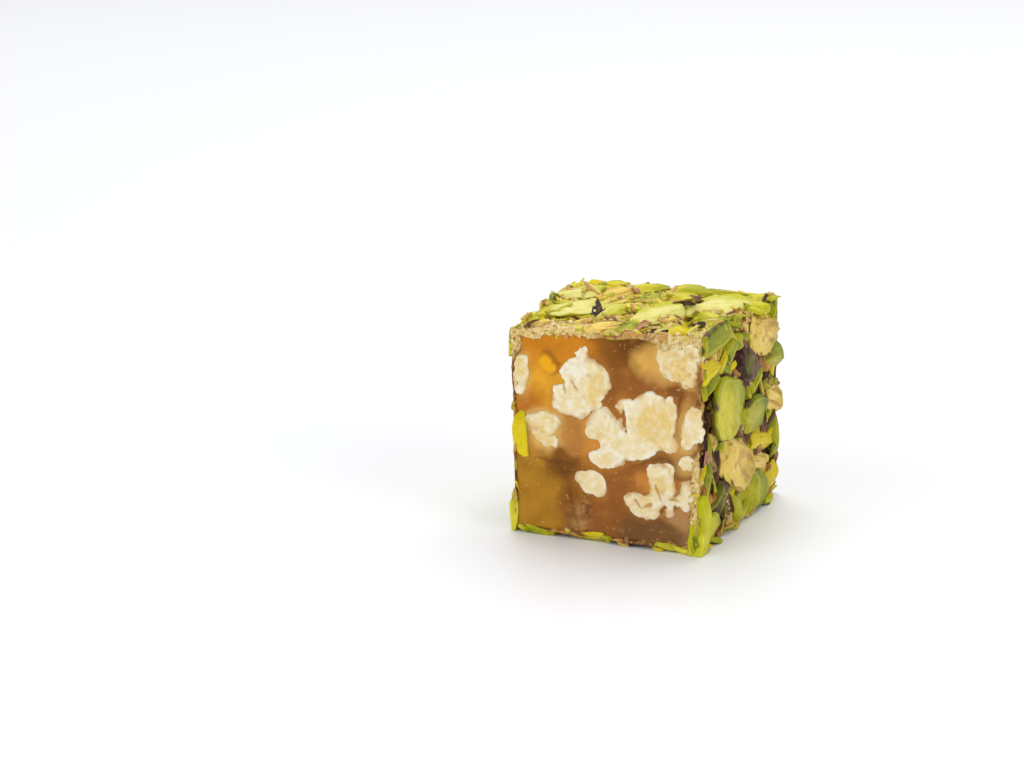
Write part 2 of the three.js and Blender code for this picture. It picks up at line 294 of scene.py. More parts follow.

# %% [markdown]
# ## Pistachio pieces: where they lie
# The coat's large pieces are listed one by one where the real sweet shows them: on the right side, the top
# and the front strips of the left side and the bottom. The rest of those two sides is covered by rule. Each
# row gives the place from the side's middle, length, width, turn and kind, exactly as in the solids, then
# its look and how much deeper it sits. Small pieces and chips by rule fill the gaps between, apart from
# one bare gap painted dark as shade, and thin flakes of skin lie on top; the darkest flakes also stand for
# painted shade where they lie in gaps.

# %% Large pieces and flakes
LARGE_PIECES = {
    "right": [
        (-6.1, 2.9, 12.8, 8.8, -15, "half", "lime"),
        (-2.0, -5.9, 12.0, 7.2, -30, "half", "tan"),
        (5.6, -11.9, 13.0, 6.8, -8, "back", "green"),
        (-7.6, -9.2, 9.0, 5.2, -15, "back", "skin"),
        (7.8, 10.2, 12.0, 6.2, -12, "half", "tan"),
        (1.4, 7.6, 10.5, 5.8, -20, "back", "skin"),
        (-9.6, 13.2, 12.5, 4.4, 5, "slice", "green"),
        (-12.4, 9.8, 7.0, 3.4, 5, "slice", "yellow"),
        (-5.0, 10.6, 6.8, 4.2, -25, "back", "green"),
        (4.5, -0.3, 12.0, 5.4, -5, "half", "green"),
        (7.7, -5.2, 8.6, 4.0, -12, "slice", "yellow"),
        (12.1, 5.8, 8.0, 5.6, -15, "back", "green"),
        (7.8, -8.3, 7.5, 3.0, -20, "slice", "tan"),
        (-12.9, -7.0, 10.0, 3.2, 80, "slice", "green"),
        (-10.4, -12.2, 7.0, 4.2, -25, "half", "lime"),
        (-1.3, -12.0, 6.5, 3.8, -60, "back", "lime"),
        (12.7, -11.5, 5.0, 4.2, 20, "slice", "yellow"),
        (12.3, 0.1, 6.8, 4.8, -25, "half", "tan"),
        (13.2, 11.8, 6.0, 3.8, 75, "half", "lime", 0.5),
        (13.4, -5.2, 7.0, 3.6, 84, "back", "green"),
        (-14.2, -12.0, 11.0, 6.0, 85, "back", "bright"),
        (-13.6, -13.4, 5.4, 3.6, 65, "back", "green"),
    ],
    "top": [
        (-8.9, -2.3, 11.5, 6.4, 72, "half", "pale"),
        (-12.0, 6.0, 9.0, 5.4, 60, "half", "pale"),
        (-12.9, -4.2, 8.6, 3.4, 84, "slice", "lime"),
        (-4.0, -2.2, 8.4, 4.4, 82, "back", "pale"),
        (-2.1, -12.0, 8.2, 4.4, 68, "slice", "tan"),
        (1.8, -12.8, 7.6, 3.4, 84, "slice", "green"),
        (3.8, -3.3, 14.0, 5.4, 78, "half", "pale"),
        (9.7, -12.4, 5.2, 3.6, 50, "back", "yellow"),
        (9.8, 4.0, 12.0, 6.6, 68, "half", "pale"),
        (-9.6, 13.0, 8.0, 3.6, -32, "slice", "yellow"),
        (-4.2, 12.8, 7.4, 4.2, 12, "half", "lime"),
        (1.6, 12.8, 9.2, 4.6, 6, "back", "lime"),
        (-0.7, 4.3, 11.0, 4.0, 96, "slice", "green"),
        (2.6, 8.6, 7.8, 4.4, 62, "half", "lime"),
        (8.4, 12.6, 7.4, 4.2, -12, "slice", "green"),
        (13.0, 11.8, 5.0, 3.6, 55, "half", "lime"),
        (-7.0, 8.0, 7.8, 4.6, 58, "back", "tan"),
        (12.6, -7.0, 7.6, 3.6, 76, "half", "green"),
    ],
    "left": [
        (13.6, 12.6, 4.6, 3.4, 80, "slice", "lime"),
        (12.2, 7.4, 7.0, 4.2, 86, "slice", "tan"),
        (13.8, -0.6, 7.0, 6.0, 88, "back", "yellow", 1.2),
        (10.4, -4.6, 7.4, 4.0, 60, "slice", "lime"),
        (13.6, -12.2, 6.4, 5.0, 80, "half", "bright"),
    ],
    "bottom": [
        (10.8, -13.4, 6.6, 4.4, 2, "slice", "green"),
        (1.2, -13.6, 4.0, 2.8, -4, "slice", "bright"),
        (-10.4, -13.4, 6.6, 4.4, 6, "slice", "bright"),
    ],
}
FRONT_STRIP = 8  # depth of the strips listed one by one on the left side and the bottom
SIDES = {
    "right": {"out": (1, 0, 0), "across": (0, 0, 1)},
    "top": {"out": (0, 0, 1), "across": (0, 1, 0)},
    "left": {"out": (-1, 0, 0), "across": (0, 0, 1)},
    "bottom": {"out": (0, 0, -1), "across": (0, 1, 0)},
}
# Thin flakes in the gaps and on the pieces: place, length, width, turn, look, and how much deeper they sit
FLAKES = {
    "right": [
        # This first flake lies in the bare gap: a dark sheet that stands for painted shade there.
        (-13.4, 3.4, 9.0, 2.0, 88, "dark", 0.4),
        (-3.0, 6.6, 9.0, 1.3, -25, "husk", -0.2),
        (-8.4, 9.2, 5.0, 2.2, -45, "dark", 0.2),
        (2.8, 0.6, 5.0, 1.3, -32, "husk", -0.2),
        (7.6, -0.1, 3.6, 1.8, -32, "dark", -0.5),
        (12.2, -6.6, 5.0, 1.6, -40, "husk", 0),
        (-4.6, -10.6, 5.0, 1.5, -60, "husk", -0.3),
        (-10.0, -8.6, 5.0, 1.4, -70, "dark", -0.3),
        (12.3, -10.3, 3.5, 1.8, -40, "dark", 0),
        (-11.3, -14.2, 3.5, 1.6, -15, "dark", 0),
        (1.0, 9.6, 5.0, 1.4, -50, "husk", -0.5),
        (3.8, 8.2, 4.6, 1.3, -64, "husk", -0.5),
        (-13.0, -2.2, 2.6, 1.8, 60, "pink", -0.2),
    ],
    "top": [
        (-5.6, -3.8, 9.0, 1.6, -72, "dark", -0.1),
        (5.4, 9.4, 3.6, 1.4, -80, "husk", -0.3),
        (5.4, 1.8, 4.0, 1.1, 40, "husk", -1.3),
        (6.6, 3.2, 4.4, 1.2, -50, "husk", -1.4),
        (7.4, 2.0, 3.4, 1.0, 80, "husk", -1.3),
        (4.2, -11.8, 2.4, 1.5, 60, "pink", -0.7),
        (6.2, 0.4, 3.2, 1.0, -20, "dark", -1.2),
        (8.6, -5.4, 4.5, 1.4, -62, "husk", -0.4),
        (10.9, -7.9, 5.0, 1.6, -50, "dark", -0.3),
        (8.2, -13.8, 2.6, 1.5, -20, "dark", -0.2),
        (4.8, -14.0, 3.4, 1.6, 6, "yellow", -0.3),
        (0.4, -14.2, 3.0, 1.4, -12, "lime", -0.2),
        (-12.4, -12.8, 2.8, 1.3, 30, "husk", -0.4),
        (-4.6, 9.6, 2.2, 1.1, -50, "pink", -0.8),
        (-8.6, 13.6, 3.0, 1.8, 30, "bright", -0.5),
    ],
}
print("pieces laid by hand:", {side: len(rows) for side, rows in LARGE_PIECES.items()})

# %% Looks and rules
# Colour of the flesh, colour of the rim and rind, and how much skin is left on
LOOKS = {
    "green": ((180, 174, 44), (112, 126, 16), 0.25),
    "lime": ((212, 200, 62), (150, 156, 16), 0.15),
    "bright": ((226, 216, 66), (186, 186, 26), 0.0),
    "pale": ((226, 218, 132), (190, 190, 26), 0.0),
    "yellow": ((228, 206, 40), (204, 182, 16), 0.0),
    "tan": ((236, 204, 114), (198, 164, 72), 0.0),
    "skin": ((112, 110, 34), (70, 74, 18), 0.5),
    "husk": ((132, 89, 63), (82, 50, 38), 0.0),
    # near-black skin, whose flakes in the gaps also stand for painted shade
    "dark": ((56, 32, 20), (40, 20, 12), 0.0),
    "amber": ((204, 146, 66), (158, 98, 38), 0.0),
    "pink": ((198, 144, 112), (170, 108, 84), 0.0),
}
COMMON_LOOKS = ("green", "lime", "bright", "pale", "yellow", "tan")
CHIP_LOOKS = {
    "right": ("green", "lime", "tan", "husk", "skin", "amber", "green", "yellow"),
    "top": ("green", "lime", "tan", "pale", "lime", "bright", "tan", "yellow"),
    "left": ("green", "lime", "tan", "husk", "skin", "tan", "green", "yellow"),
    "bottom": ("bright", "lime", "tan", "yellow", "green", "lime", "tan", "bright"),
}
LARGE_RULE = {"across": 4, "length": (8, 13), "width": (4.2, 7.4), "seed": 11}
SMALL_RULE = {"across": 3, "length": (4.4, 7.6), "width": (2.8, 4.4), "seed": 23}
FLAKE_RULE = {"across": 3, "length": (3, 9), "width": (1, 1.7), "seed": 67}
CHIP_RULE = {"across": 11, "length": (2.4, 6.0), "width": (1.3, 2.8), "seed": 37}
TOP_CHIP_RULE = {"across": 13, "length": (1.6, 5.0), "width": (0.7, 2.1), "seed": 37}
BARE_STRIP = 2.6  # at the front of the top, where only crust lies
# The bare gap's bed is sunk and painted near black, as shade.
DARK_GAP = (-13.4, 1.5, 2.2, 6.0)  # bare place on the right side: along, across, half length, half height
JITTER = 0.34
LOOK_SEED = 53
KINDS = ("half", "back", "slice")
print("looks:", len(LOOKS))

# %% Layout of the pistachio pieces


def pieces_by_rule(rule, side_number, looks):
    """Pieces on a jittered square grid over one side."""
    draw = draws(rule["seed"] + 100 * side_number)
    look_draw = draws(LOOK_SEED + rule["seed"] + side_number)
    across = rule["across"]
    pitch = CUBE / across
    pieces = []
    for cell in range(across * across):
        column_and_row = (cell % across, cell // across)
        place = [(n + 0.5 + JITTER * (2 * next(draw) - 1)) * pitch - MIDDLE for n in column_and_row]
        size = [between(rule["length"], next(draw)), between(rule["width"], next(draw))]
        turn = 180 * next(draw)
        kind = KINDS[int(next(draw) * len(KINDS))]
        look = looks[int(next(look_draw) * len(looks))]
        pieces.append((*place, *size, turn, kind, look))
    return pieces


def behind_strip(side, rows):
    """The rows of a hidden side that lie behind its front strip."""
    return [row for row in rows if (-row[0] if side == "left" else row[1]) > FRONT_STRIP - MIDDLE]


def hidden_pieces(side, number):
    """Large pieces by rule on the sides that show only at their front."""
    if side not in ("left", "bottom"):
        return []
    return behind_strip(side, pieces_by_rule(LARGE_RULE, number, COMMON_LOOKS))


def clear_of_gap(side, rows):
    """The rows that do not lie in the dark gap of the right side."""
    if side != "right":
        return rows
    along, across, half_length, half_height = DARK_GAP

    def reach(row):
        return np.hypot((row[0] - along) / half_length, (row[1] - across) / half_height)

    return [row for row in rows if reach(row) > 1]


def chips(side, number):
    """Chips by rule, finer on the top and none on its bare strip."""
    if side != "top":
        return clear_of_gap(side, pieces_by_rule(CHIP_RULE, number, CHIP_LOOKS[side]))
    rows = pieces_by_rule(TOP_CHIP_RULE, number, CHIP_LOOKS[side])
    return [row for row in rows if row[1] > BARE_STRIP - MIDDLE]


def flakes(side, number):
    """Flakes as listed where they show, by rule on the left, and none under the sweet."""
    if side == "bottom":
        return []
    if side not in FLAKES:
        rows = behind_strip(side, pieces_by_rule(FLAKE_RULE, number, COMMON_LOOKS))
        return [(*row[:5], "flake", "husk") for row in rows]
    return [(*row[:5], "flake", *row[5:]) for row in FLAKES[side]]


layout = {
    side: {
        "kernel": LARGE_PIECES[side] + hidden_pieces(side, number),
        "piece": clear_of_gap(side, pieces_by_rule(SMALL_RULE, number, CHIP_LOOKS[side])),
        "chip": chips(side, number),
        "flake": flakes(side, number),
    }
    for number, side in enumerate(SIDES)
}
print("pieces:", {side: [len(rows) for rows in kinds.values()] for side, kinds in layout.items()})

# %% [markdown]
# ## Pistachio pieces: their shapes
# A chopped pistachio is an egg-shaped kernel that a knife has gone through. So each shape here starts as
# a fine sphere, and every cut presses the points beyond a plane back onto it. Points that a cut has moved
# are flesh, the others are rind, and the finish reads that difference. A boolean would cut more sharply,
# but a real cut edge is soft, and this keeps the mesh even.

# %% Cuts of a kernel
SMOOTH_SHAPES = 5
RIDGED_SHAPES = 3
SHAPES_PER_KIND = SMOOTH_SHAPES + RIDGED_SHAPES
FLAKE_SHAPES = 4
# How often each sphere is divided; what repeats most often has the fewest faces
LEVELS = {"kernel": 5, "piece": 4, "chip": 3, "bit": 2, "flake": 4}
# How likely a kernel has an end, or a side, chopped off
END_CHANCE = {"half": 0.6, "back": 0.4, "slice": 0.9}
SIDE_CHANCE = {"half": 0.7, "back": 0.4, "slice": 0.3}
CUT_DEPTH = 0.94  # below 1, so that a cut stays a little domed
CUT_BORDER = 0.26  # width over which rind turns to flesh
# How square the body is before it is cut: 2 is round
SQUARENESS = {"half": 2.2, "back": 2.2, "slice": 2.8}
CHIP_SQUARENESS = 3.5


def sphere(level):
    made = bmesh.new()
    bmesh.ops.create_icosphere(made, subdivisions=level, radius=1)
    mesh = bpy.data.meshes.new("shape")
    made.to_mesh(mesh)
    made.free()
    return mesh


def main_cuts(kind, chance):
    """The cuts that make a half, a back or a slice: direction, reach, and whether rind stays on it."""
    if kind == "half":
        lean, turn = np.radians(chance.uniform(6, 22)), chance.uniform(0, 2 * np.pi)
        direction = (np.sin(lean) * np.cos(turn), np.sin(lean) * np.sin(turn), np.cos(lean))
        yield direction, chance.uniform(0.35, 0.5), False
        return
    yield (0, 0, -1), 0.3, True
    if kind == "slice":
        for side in (-1, 1):
            lean = np.radians(chance.uniform(5, 45))
            yield (0, side * np.sin(lean), np.cos(lean)), chance.uniform(0.25, 0.45), side > 0


def chops(kind, chance, small):
    """Ends and sides that the knife took off; a small chip has lost them all."""
    for end in (-1, 1):
        if small or chance.random() < END_CHANCE[kind]:
            yield (end, chance.uniform(-0.5, 0.5), chance.uniform(0, 0.9)), chance.uniform(0.5, 0.8), False
    for side in (-1, 1):
        if small or chance.random() < SIDE_CHANCE[kind]:
            yield (chance.uniform(-0.4, 0.4), side, chance.uniform(0.1, 0.9)), chance.uniform(0.4, 0.7), False


print("cuts of a slice:", len(list(main_cuts("slice", np.random.default_rng(1)))))

# %% Shapes of the pistachio pieces
TIP = 0.35  # how much narrower one end of a kernel is
BEND = 0.2  # how far a kernel bends sideways at most
TORN = {"kernel": 0.12, "flake": 0.15}  # how uneven the outline is
GRAIN = (1.5, 4, 4)  # fine relief runs along a kernel
FOLDS_ALONG = (0.6, 2.8, 2.8)  # and so do the folds of a toasted one


def kernel_mesh(kind, variant, seed, level):
    """A piece of kernel in a box from -1 to 1, outside up; the first of each kind has no chops."""
    chance = np.random.default_rng(seed)
    small = level <= LEVELS["chip"]
    mesh = sphere(level)
    points = points_of(mesh) * MM
    squareness = CHIP_SQUARENESS if small else SQUARENESS[kind]
    points /= (np.abs(points) ** squareness).sum(1)[:, None] ** (1 / squareness)
    rind = np.ones(len(points))
    cuts = list(main_cuts(kind, chance))
    if variant or small:
        cuts += chops(kind, chance, small)
    for direction, reach, keeps_rind in cuts:
        direction = np.array(direction) / np.linalg.norm(direction)
        beyond = points @ direction - reach
        points -= np.outer(CUT_DEPTH * np.maximum(beyond, 0), direction)
        flesh = np.clip(0.5 + beyond / CUT_BORDER, 0, 1)
        rind = np.maximum(rind, flesh) if keeps_rind else np.minimum(rind, 1 - flesh)
    edge = np.hypot(points[:, 0], points[:, 1])
    points[:, 1] *= 1 - TIP * np.clip(points[:, 0], 0, 1) ** 2
    points[:, 1] += chance.uniform(-BEND, BEND) * points[:, 0] ** 2
    points[:, :2] *= (1 + TORN["kernel"] * noise(points * (1, 1, 0), 0.7, seed + 90, 2))[:, None]
    fold = np.full(len(points), 0.5)
    if variant < SMOOTH_SHAPES:
        relief = 0.04 * noise(points * GRAIN + seed, 1.0, seed, 3)
    else:
        fold = 1 - 1.6 * np.abs(noise(points * FOLDS_ALONG + seed, 1.0, seed, 2))
        relief = 0.18 * (fold - 0.5)
    points += normals_of(mesh) * relief[:, None]
    return boxed(mesh, points, rind, np.clip(edge, 0, 1), fold)


def boxed(mesh, points, rind, edge, fold):
    """A shape scaled to a box from -1 to 1, with the values that its finish reads."""
    low, high = points.min(0), points.max(0)
    points = (points - (low + high) / 2) / ((high - low) / 2)
    place_points(mesh, points / MM)
    for name, values in (("rind", rind), ("edge", edge), ("fold", fold)):
        store(mesh, name, values)
    store(mesh, "spot", np.c_[points, np.ones(len(points))])
    return mesh


def flake_mesh(seed, level):
    """A thin curled flake with a torn outline."""
    chance = np.random.default_rng(seed)
    mesh = sphere(level)
    points = points_of(mesh) * MM
    edge = np.hypot(points[:, 0], points[:, 1])
    points[:, :2] *= (1 + TORN["flake"] * noise(points * (1, 1, 0), 0.6, seed, 2))[:, None]
    curl = chance.uniform(0.4, 0.9) * points[:, 1] ** 2 + chance.uniform(-0.3, 0.3) * points[:, 0] ** 2
    points[:, 2] = 0.12 * points[:, 2] + curl + 0.15 * noise(points * (1, 1, 0), 0.8, seed + 5, 2)
    ones = np.ones(len(points))
    return boxed(mesh, points, 0 * ones, edge, 0.5 * ones)


def shape_collection(name):
    """A few shapes of each kind, named so that their order is the order of their numbers."""
    level = LEVELS[name]
    if name == "flake":
        meshes = [flake_mesh(seed, level) for seed in range(FLAKE_SHAPES)]
    else:
        kinds = enumerate(product(KINDS, range(SHAPES_PER_KIND)), start=1)
        meshes = [kernel_mesh(kind, variant, seed, level) for seed, (kind, variant) in kinds]
    made = bpy.data.collections.new(name)
    for number, mesh in enumerate(meshes):
        made.objects.link(bpy.data.objects.new(f"{name}_{number:02d}", mesh))
    return made


shapes = {name: shape_collection(name) for name in LEVELS}

# %% [markdown]
# ## Pistachio pieces: their finish
# Pistachio flesh is yellow or green in the middle and greener at the rim, some pieces have toasted to
# tan, and fibres run along each. Shade is painted into the hollows of the fibres and folds, and highlights
# onto their crests and along the edge where a cut meets the rind. What is left of the skin is a thin
# purple-brown film in patches. Each piece carries its own two colours and its share of skin, so one
# material serves them all.

# %% Pistachio finish
# Two of these colours are painted light: a darker tan for shade in hollows, and cream-yellow for highlights
# on crests and along a cut edge.
PISTACHIO_TINTS = palette(
    worn=(190, 160, 100),
    crest=(232, 216, 70),
    border=(230, 214, 110),
    dark_film=(50, 29, 21),
    light_film=(108, 77, 62),
)
FIBRE = (0.8, 4.0, 4.0)  # fibres are long along the piece and fine across it
APART = (400, 400, 400)  # shifts the fibres from piece to piece


def pistachio_finish():
    finish = Finish("pistachio")
    flesh, rim = (finish.attribute(name, "Color") for name in ("flesh", "rim"))
    rind, edge, skin, fold = (finish.attribute(name) for name in ("rind", "edge", "skin", "fold"))
    spot = finish.attribute("spot", "Vector")
    along, aside, _ = finish.add("ShaderNodeSeparateXYZ", {"Vector": spot}).outputs
    grain = finish.speckle(0.4, 4)
    mottle = finish.speckle(2.4, 3)
    fibre_place = finish.add("ShaderNodeVectorMath", {0: spot, 1: FIBRE}, operation="MULTIPLY")
    apart = finish.add("ShaderNodeVectorMath", {0: finish.place, 1: APART}, operation="MULTIPLY")
    fibre_place = finish.add("ShaderNodeVectorMath", {0: fibre_place.outputs[0], 1: apart.outputs[0]})
    fibre = finish.add(
        "ShaderNodeTexNoise", {"Vector": fibre_place.outputs[0], "Scale": 1.0, "Detail": 3.0}
    ).outputs["Fac"]
    shares = ((edge, 0.5), (along, 0.4), (aside, 0.3), (mottle, 1.2))
    toward_rim = finish.step(finish.sum(shares), 0.55, 1.45)
    rind_share = finish.times(rind, finish.sum(((edge, 0.5), (1.0, 0.4))))
    toward_rim = finish.most(toward_rim, rind_share)
    colour = finish.mix(toward_rim, flesh, rim)
    hollow = finish.most(finish.step(fibre, 0.45, 0.25), finish.step(fold, 0.4, 0.0))
    # Hollows of the fibres and folds, where the relief dips, are darkened as painted shade.
    worn = finish.mix(1.0, colour, PISTACHIO_TINTS["worn"], "MULTIPLY")
    colour = finish.mix(finish.times(hollow, 0.5), colour, worn)
    # Crests of the fibres and folds, where the relief rises, get a painted highlight.
    crest = finish.most(finish.step(fibre, 0.58, 0.78), finish.step(fold, 0.7, 1.0))
    colour = finish.mix(finish.times(crest, 0.3), colour, PISTACHIO_TINTS["crest"])
    # A thin cream line where rind turns to flesh, along the cut's edge, is a painted highlight.
    off_border = finish.math("ABSOLUTE", finish.math("SUBTRACT", rind, 0.5), 0)
    at_border = finish.times(finish.step(off_border, 0.5, 0.0), 0.22)
    colour = finish.mix(at_border, colour, PISTACHIO_TINTS["border"])
    patchy = finish.step(mottle, 0.4, 0.6)
    film = finish.mix(patchy, PISTACHIO_TINTS["dark_film"], PISTACHIO_TINTS["light_film"])
    left_on = finish.sum(((skin, 0.8), (mottle, 0.6), (edge, 0.4), (rind, 0.2)))
    colour = finish.mix(finish.step(left_on, 1.0, 1.15), colour, film)
    finish.set(Base_Color=colour, Roughness=0.38, Specular_IOR_Level=0.05)
    finish.set(Subsurface_Weight=0.15, Subsurface_Scale=0.0012, Subsurface_Radius=(1.0, 0.9, 0.15))
    finish.set(Normal=finish.bump(finish.sum(((grain, 0.4), (fibre, 1.0))), 0.12))
    return finish.material


pistachio = pistachio_finish()
print("pistachio nodes:", len(pistachio.node_tree.nodes))

# %% [markdown]
# ## Pistachio pieces: pressed on
# The pieces repeat a few shapes many times, which is what Geometry Nodes are for. Each side gives a cloud
# of points that carry size, turn and look. The tree sets a shape on each point and makes the copies real.
# Afterwards the knife's cuts and the pressing board flatten what stands out past them, and the block's
# stray is added.

# %% A tree that sets a shape on every point


def socket_name(tree, name):
    """The identifier that a modifier knows an input by."""
    return next(item.identifier for item in tree.interface.items_tree if item.name == name)


def new_tree(name, inputs):
    tree = bpy.data.node_groups.new(name, "GeometryNodeTree")
    for label, kind in inputs.items():
        tree.interface.new_socket(label, in_out="INPUT", socket_type=kind)
    tree.interface.new_socket("Made", in_out="OUTPUT", socket_type="NodeSocketGeometry")
    return tree


def named(tree, name, kind):
    """The value that a point carries under a name."""
    made = add_to(tree, "GeometryNodeInputNamedAttribute", {"Name": name}, data_type=kind)
    return made.outputs["Attribute"]


def shapes_in(tree, collection):
    """The shapes of a collection, one by one, for a tree to pick from."""
    made = add_to(
        tree,
        "GeometryNodeCollectionInfo",
        {"Collection": collection, "Separate Children": True, "Reset Children": True},
    )
    return made.outputs["Instances"]


def close_tree(tree, copies, finish):
    """Makes the copies real, gives them their finish and hands them out."""
    real = add_to(tree, "GeometryNodeRealizeInstances", {"Geometry": copies}).outputs["Geometry"]
    dressed = add_to(tree, "GeometryNodeSetMaterial", {"Geometry": real, "Material": finish})
    add_to(tree, "NodeGroupOutput", {"Made": dressed.outputs["Geometry"]})


def set_on_points_tree():
    tree = new_tree(
        "Set a shape on every point",
        {"Points": "NodeSocketGeometry", "Shapes": "NodeSocketCollection", "Finish": "NodeSocketMaterial"},
    )
    given = tree.nodes.new("NodeGroupInput").outputs
    turn = add_to(tree, "FunctionNodeEulerToRotation", {"Euler": named(tree, "turn", "FLOAT_VECTOR")})
    copies = add_to(
        tree,
        "GeometryNodeInstanceOnPoints",
        {
            "Points": given["Points"],
            "Instance": shapes_in(tree, given["Shapes"]),
            "Pick Instance": True,
            "Instance Index": named(tree, "shape", "INT"),
            "Rotation": turn.outputs["Rotation"],
            "Scale": named(tree, "size", "FLOAT_VECTOR"),
        },
    )
    close_tree(tree, copies.outputs["Instances"], given["Finish"])
    return tree


def grown(carrier, tree, values):
    """The plain mesh that a tree makes of a carrier object, with the tree's inputs set by identifier."""
    bpy.context.scene.collection.objects.link(carrier)
    press = carrier.modifiers.new("grow", "NODES")
    press.node_group = tree
    for name, value in values.items():
        press[socket_name(tree, name)] = value
    graph = bpy.context.evaluated_depsgraph_get()
    mesh = bpy.data.meshes.new_from_object(
        carrier.evaluated_get(graph), preserve_all_data_layers=True, depsgraph=graph
    )
    carrier.modifiers.remove(press)
    bpy.data.objects.remove(carrier)
    return mesh


press_tree = set_on_points_tree()
print("tree nodes:", len(press_tree.nodes))

# %% Points that carry the pieces
# Thickness as a share of the width, and the share of it that stands above the bed
CHIP = {"half": (0.34, 0.66), "back": (0.42, 0.58), "slice": (0.32, 0.62), "flake": (0.2, 0.8)}
THINNEST = {"kernel": 1.2, "piece": 1.2, "chip": 0.6, "flake": 0.2}
THICKEST = 2.5
TILT = {"kernel": 7, "piece": 7, "chip": 22, "flake": 25}
TILT_SEED = 71
SINK = {"kernel": 0, "piece": 0.3, "chip": 0.1, "flake": 0}


def shape_number(kind, look, number):
    """Which of the shapes a piece takes: a ridged one if it has toasted."""
    if kind == "flake":
        return number % FLAKE_SHAPES
    variant = SMOOTH_SHAPES + number % RIDGED_SHAPES if look == "tan" else number % SMOOTH_SHAPES
    return KINDS.index(kind) * SHAPES_PER_KIND + variant


def side_frame(side):
    outward, upward = Vector(SIDES[side]["out"]), Vector(SIDES[side]["across"])
    turned = Matrix((upward.cross(outward), upward, outward)).transposed()
    return Matrix.Translation((0, 0, MIDDLE)) @ turned.to_4x4()


def point_cloud(name, pieces, side, sink):
    """A mesh of bare points, each with the shape, size, turn and look of one piece."""
    side_number = list(SIDES).index(side)
    tilt = draws(TILT_SEED + side_number)
    frame_of_side = side_frame(side)
    rows = []
    for number, (along, across, length, width, turn, kind, look, *deeper) in enumerate(pieces):
        thick, above = CHIP[kind]
        thickness = min(max(thick * width, THINNEST[name]), THICKEST)
        most = np.radians(TILT[name])
        lean = [most * (2 * next(tilt) - 1) for _ in range(2)]
        spin = Matrix.Rotation(np.radians(turn), 4, "Z")
        spin = spin @ Matrix.Rotation(lean[1], 4, "Y") @ Matrix.Rotation(lean[0], 4, "X")
        height = BED_TOP + thickness * (above - 0.5) - sink - sum(deeper)
        place = frame_of_side @ Matrix.Translation((along, across, height)) @ spin
        half_size = (length / 2, width / 2, thickness / 2)
        shape = shape_number(kind, look, number + side_number)
        rows.append((place.translation, place.to_euler(), half_size, shape, LOOKS[look]))
    places, turns, sizes, numbers, looks = zip(*rows)
    mesh = bpy.data.meshes.new(name)
    mesh.from_pydata([place * MM for place in places], [], [])
    for label, values, scale in (("turn", turns, 1), ("size", sizes, MM)):
        layer = mesh.attributes.new(label, "FLOAT_VECTOR", "POINT")
        layer.data.foreach_set("vector", np.array(values, np.float32).ravel() * scale)
    layer = mesh.attributes.new("shape", "INT", "POINT")
    layer.data.foreach_set("value", numbers)
    flesh, rims, skins = zip(*looks)
    store(mesh, "flesh", [srgb(*colour) for colour in flesh])
    store(mesh, "rim", [srgb(*colour) for colour in rims])
    store(mesh, "skin", skins)
    return bpy.data.objects.new(name, mesh)


print("most tilt of a piece in degrees:", TILT)

# %% Pistachio pieces on each side
ROOM_PAST_BOARD = {"flake": 1.2}
KNIFE_ROUGH = ((0.1, 0.8, 5, 2),)
CUT_FLESH = 0.3  # depth under a cut that shows as flesh


def joined(meshes):
    """Several meshes as one."""
    whole = bmesh.new()
    for mesh in meshes:
        whole.from_mesh(mesh)
    made = bpy.data.meshes.new("joined")
    whole.to_mesh(made)
    whole.free()
    return made


def press_and_cut(mesh, room):
    """Flattens what stands past the knife's cuts or the pressing board, then adds the block's stray."""
    points = points_of(mesh)
    rough = layers(points, KNIFE_ROUGH)
    whole = np.clip((MIDDLE + rough - np.abs(points[:, 1])) / CUT_FLESH, 0, 1)
    store(mesh, "rind", np.minimum(stored(mesh, "rind"), whole))
    board = MIDDLE + PROUD + room + rough
    points[:, 1] = np.clip(points[:, 1], -MIDDLE - rough, MIDDLE + rough)
    points[:, 0] = np.clip(points[:, 0], -board, board)
    points[:, 2] = np.clip(points[:, 2], 0, MIDDLE + board)
    place_points(mesh, soften(points))
    return mesh


def pistachio_side(side):
    made = []
    for name, pieces in layout[side].items():
        if not pieces:
            continue
        cloud = point_cloud(name, pieces, side, SINK[name])
        mesh = grown(cloud, press_tree, {"Shapes": shapes[name], "Finish": pistachio})
        made.append(press_and_cut(mesh, ROOM_PAST_BOARD.get(name, 0)))
    return show(f"pistachio_{side}", joined(made), pistachio)


for side in SIDES:
    piece = pistachio_side(side)
    stand_for(piece, "pistachio_coat")
    print(piece.name, len(piece.data.polygons), "faces")

# %% [markdown]
# ## The bed under the pistachio
# Between the pieces one sees a dark brown, sticky bed of syrup, crumbs and skin, painted near black as
# shade where it sinks between them. It is a sleeve round the jelly, made as a square profile carried along
# the bar and roughened, because all that shows of it is a broken surface in the gaps and a crumbly rim at
# each cut.

# %% Bed finish
BED_TINTS = palette(
    # near black, painted as shade where the bed sinks between the pieces
    gap=(58, 34, 16),
    dark_paste=(118, 72, 32),
    paste=(186, 132, 70),
    pale_paste=(226, 196, 138),
    dark_amber=(132, 80, 34),
    amber=(198, 134, 54),
    crust=(222, 184, 106),
    pale_crust=(230, 202, 128),
    cream=(243, 228, 180),
    pit=(122, 76, 34),
)


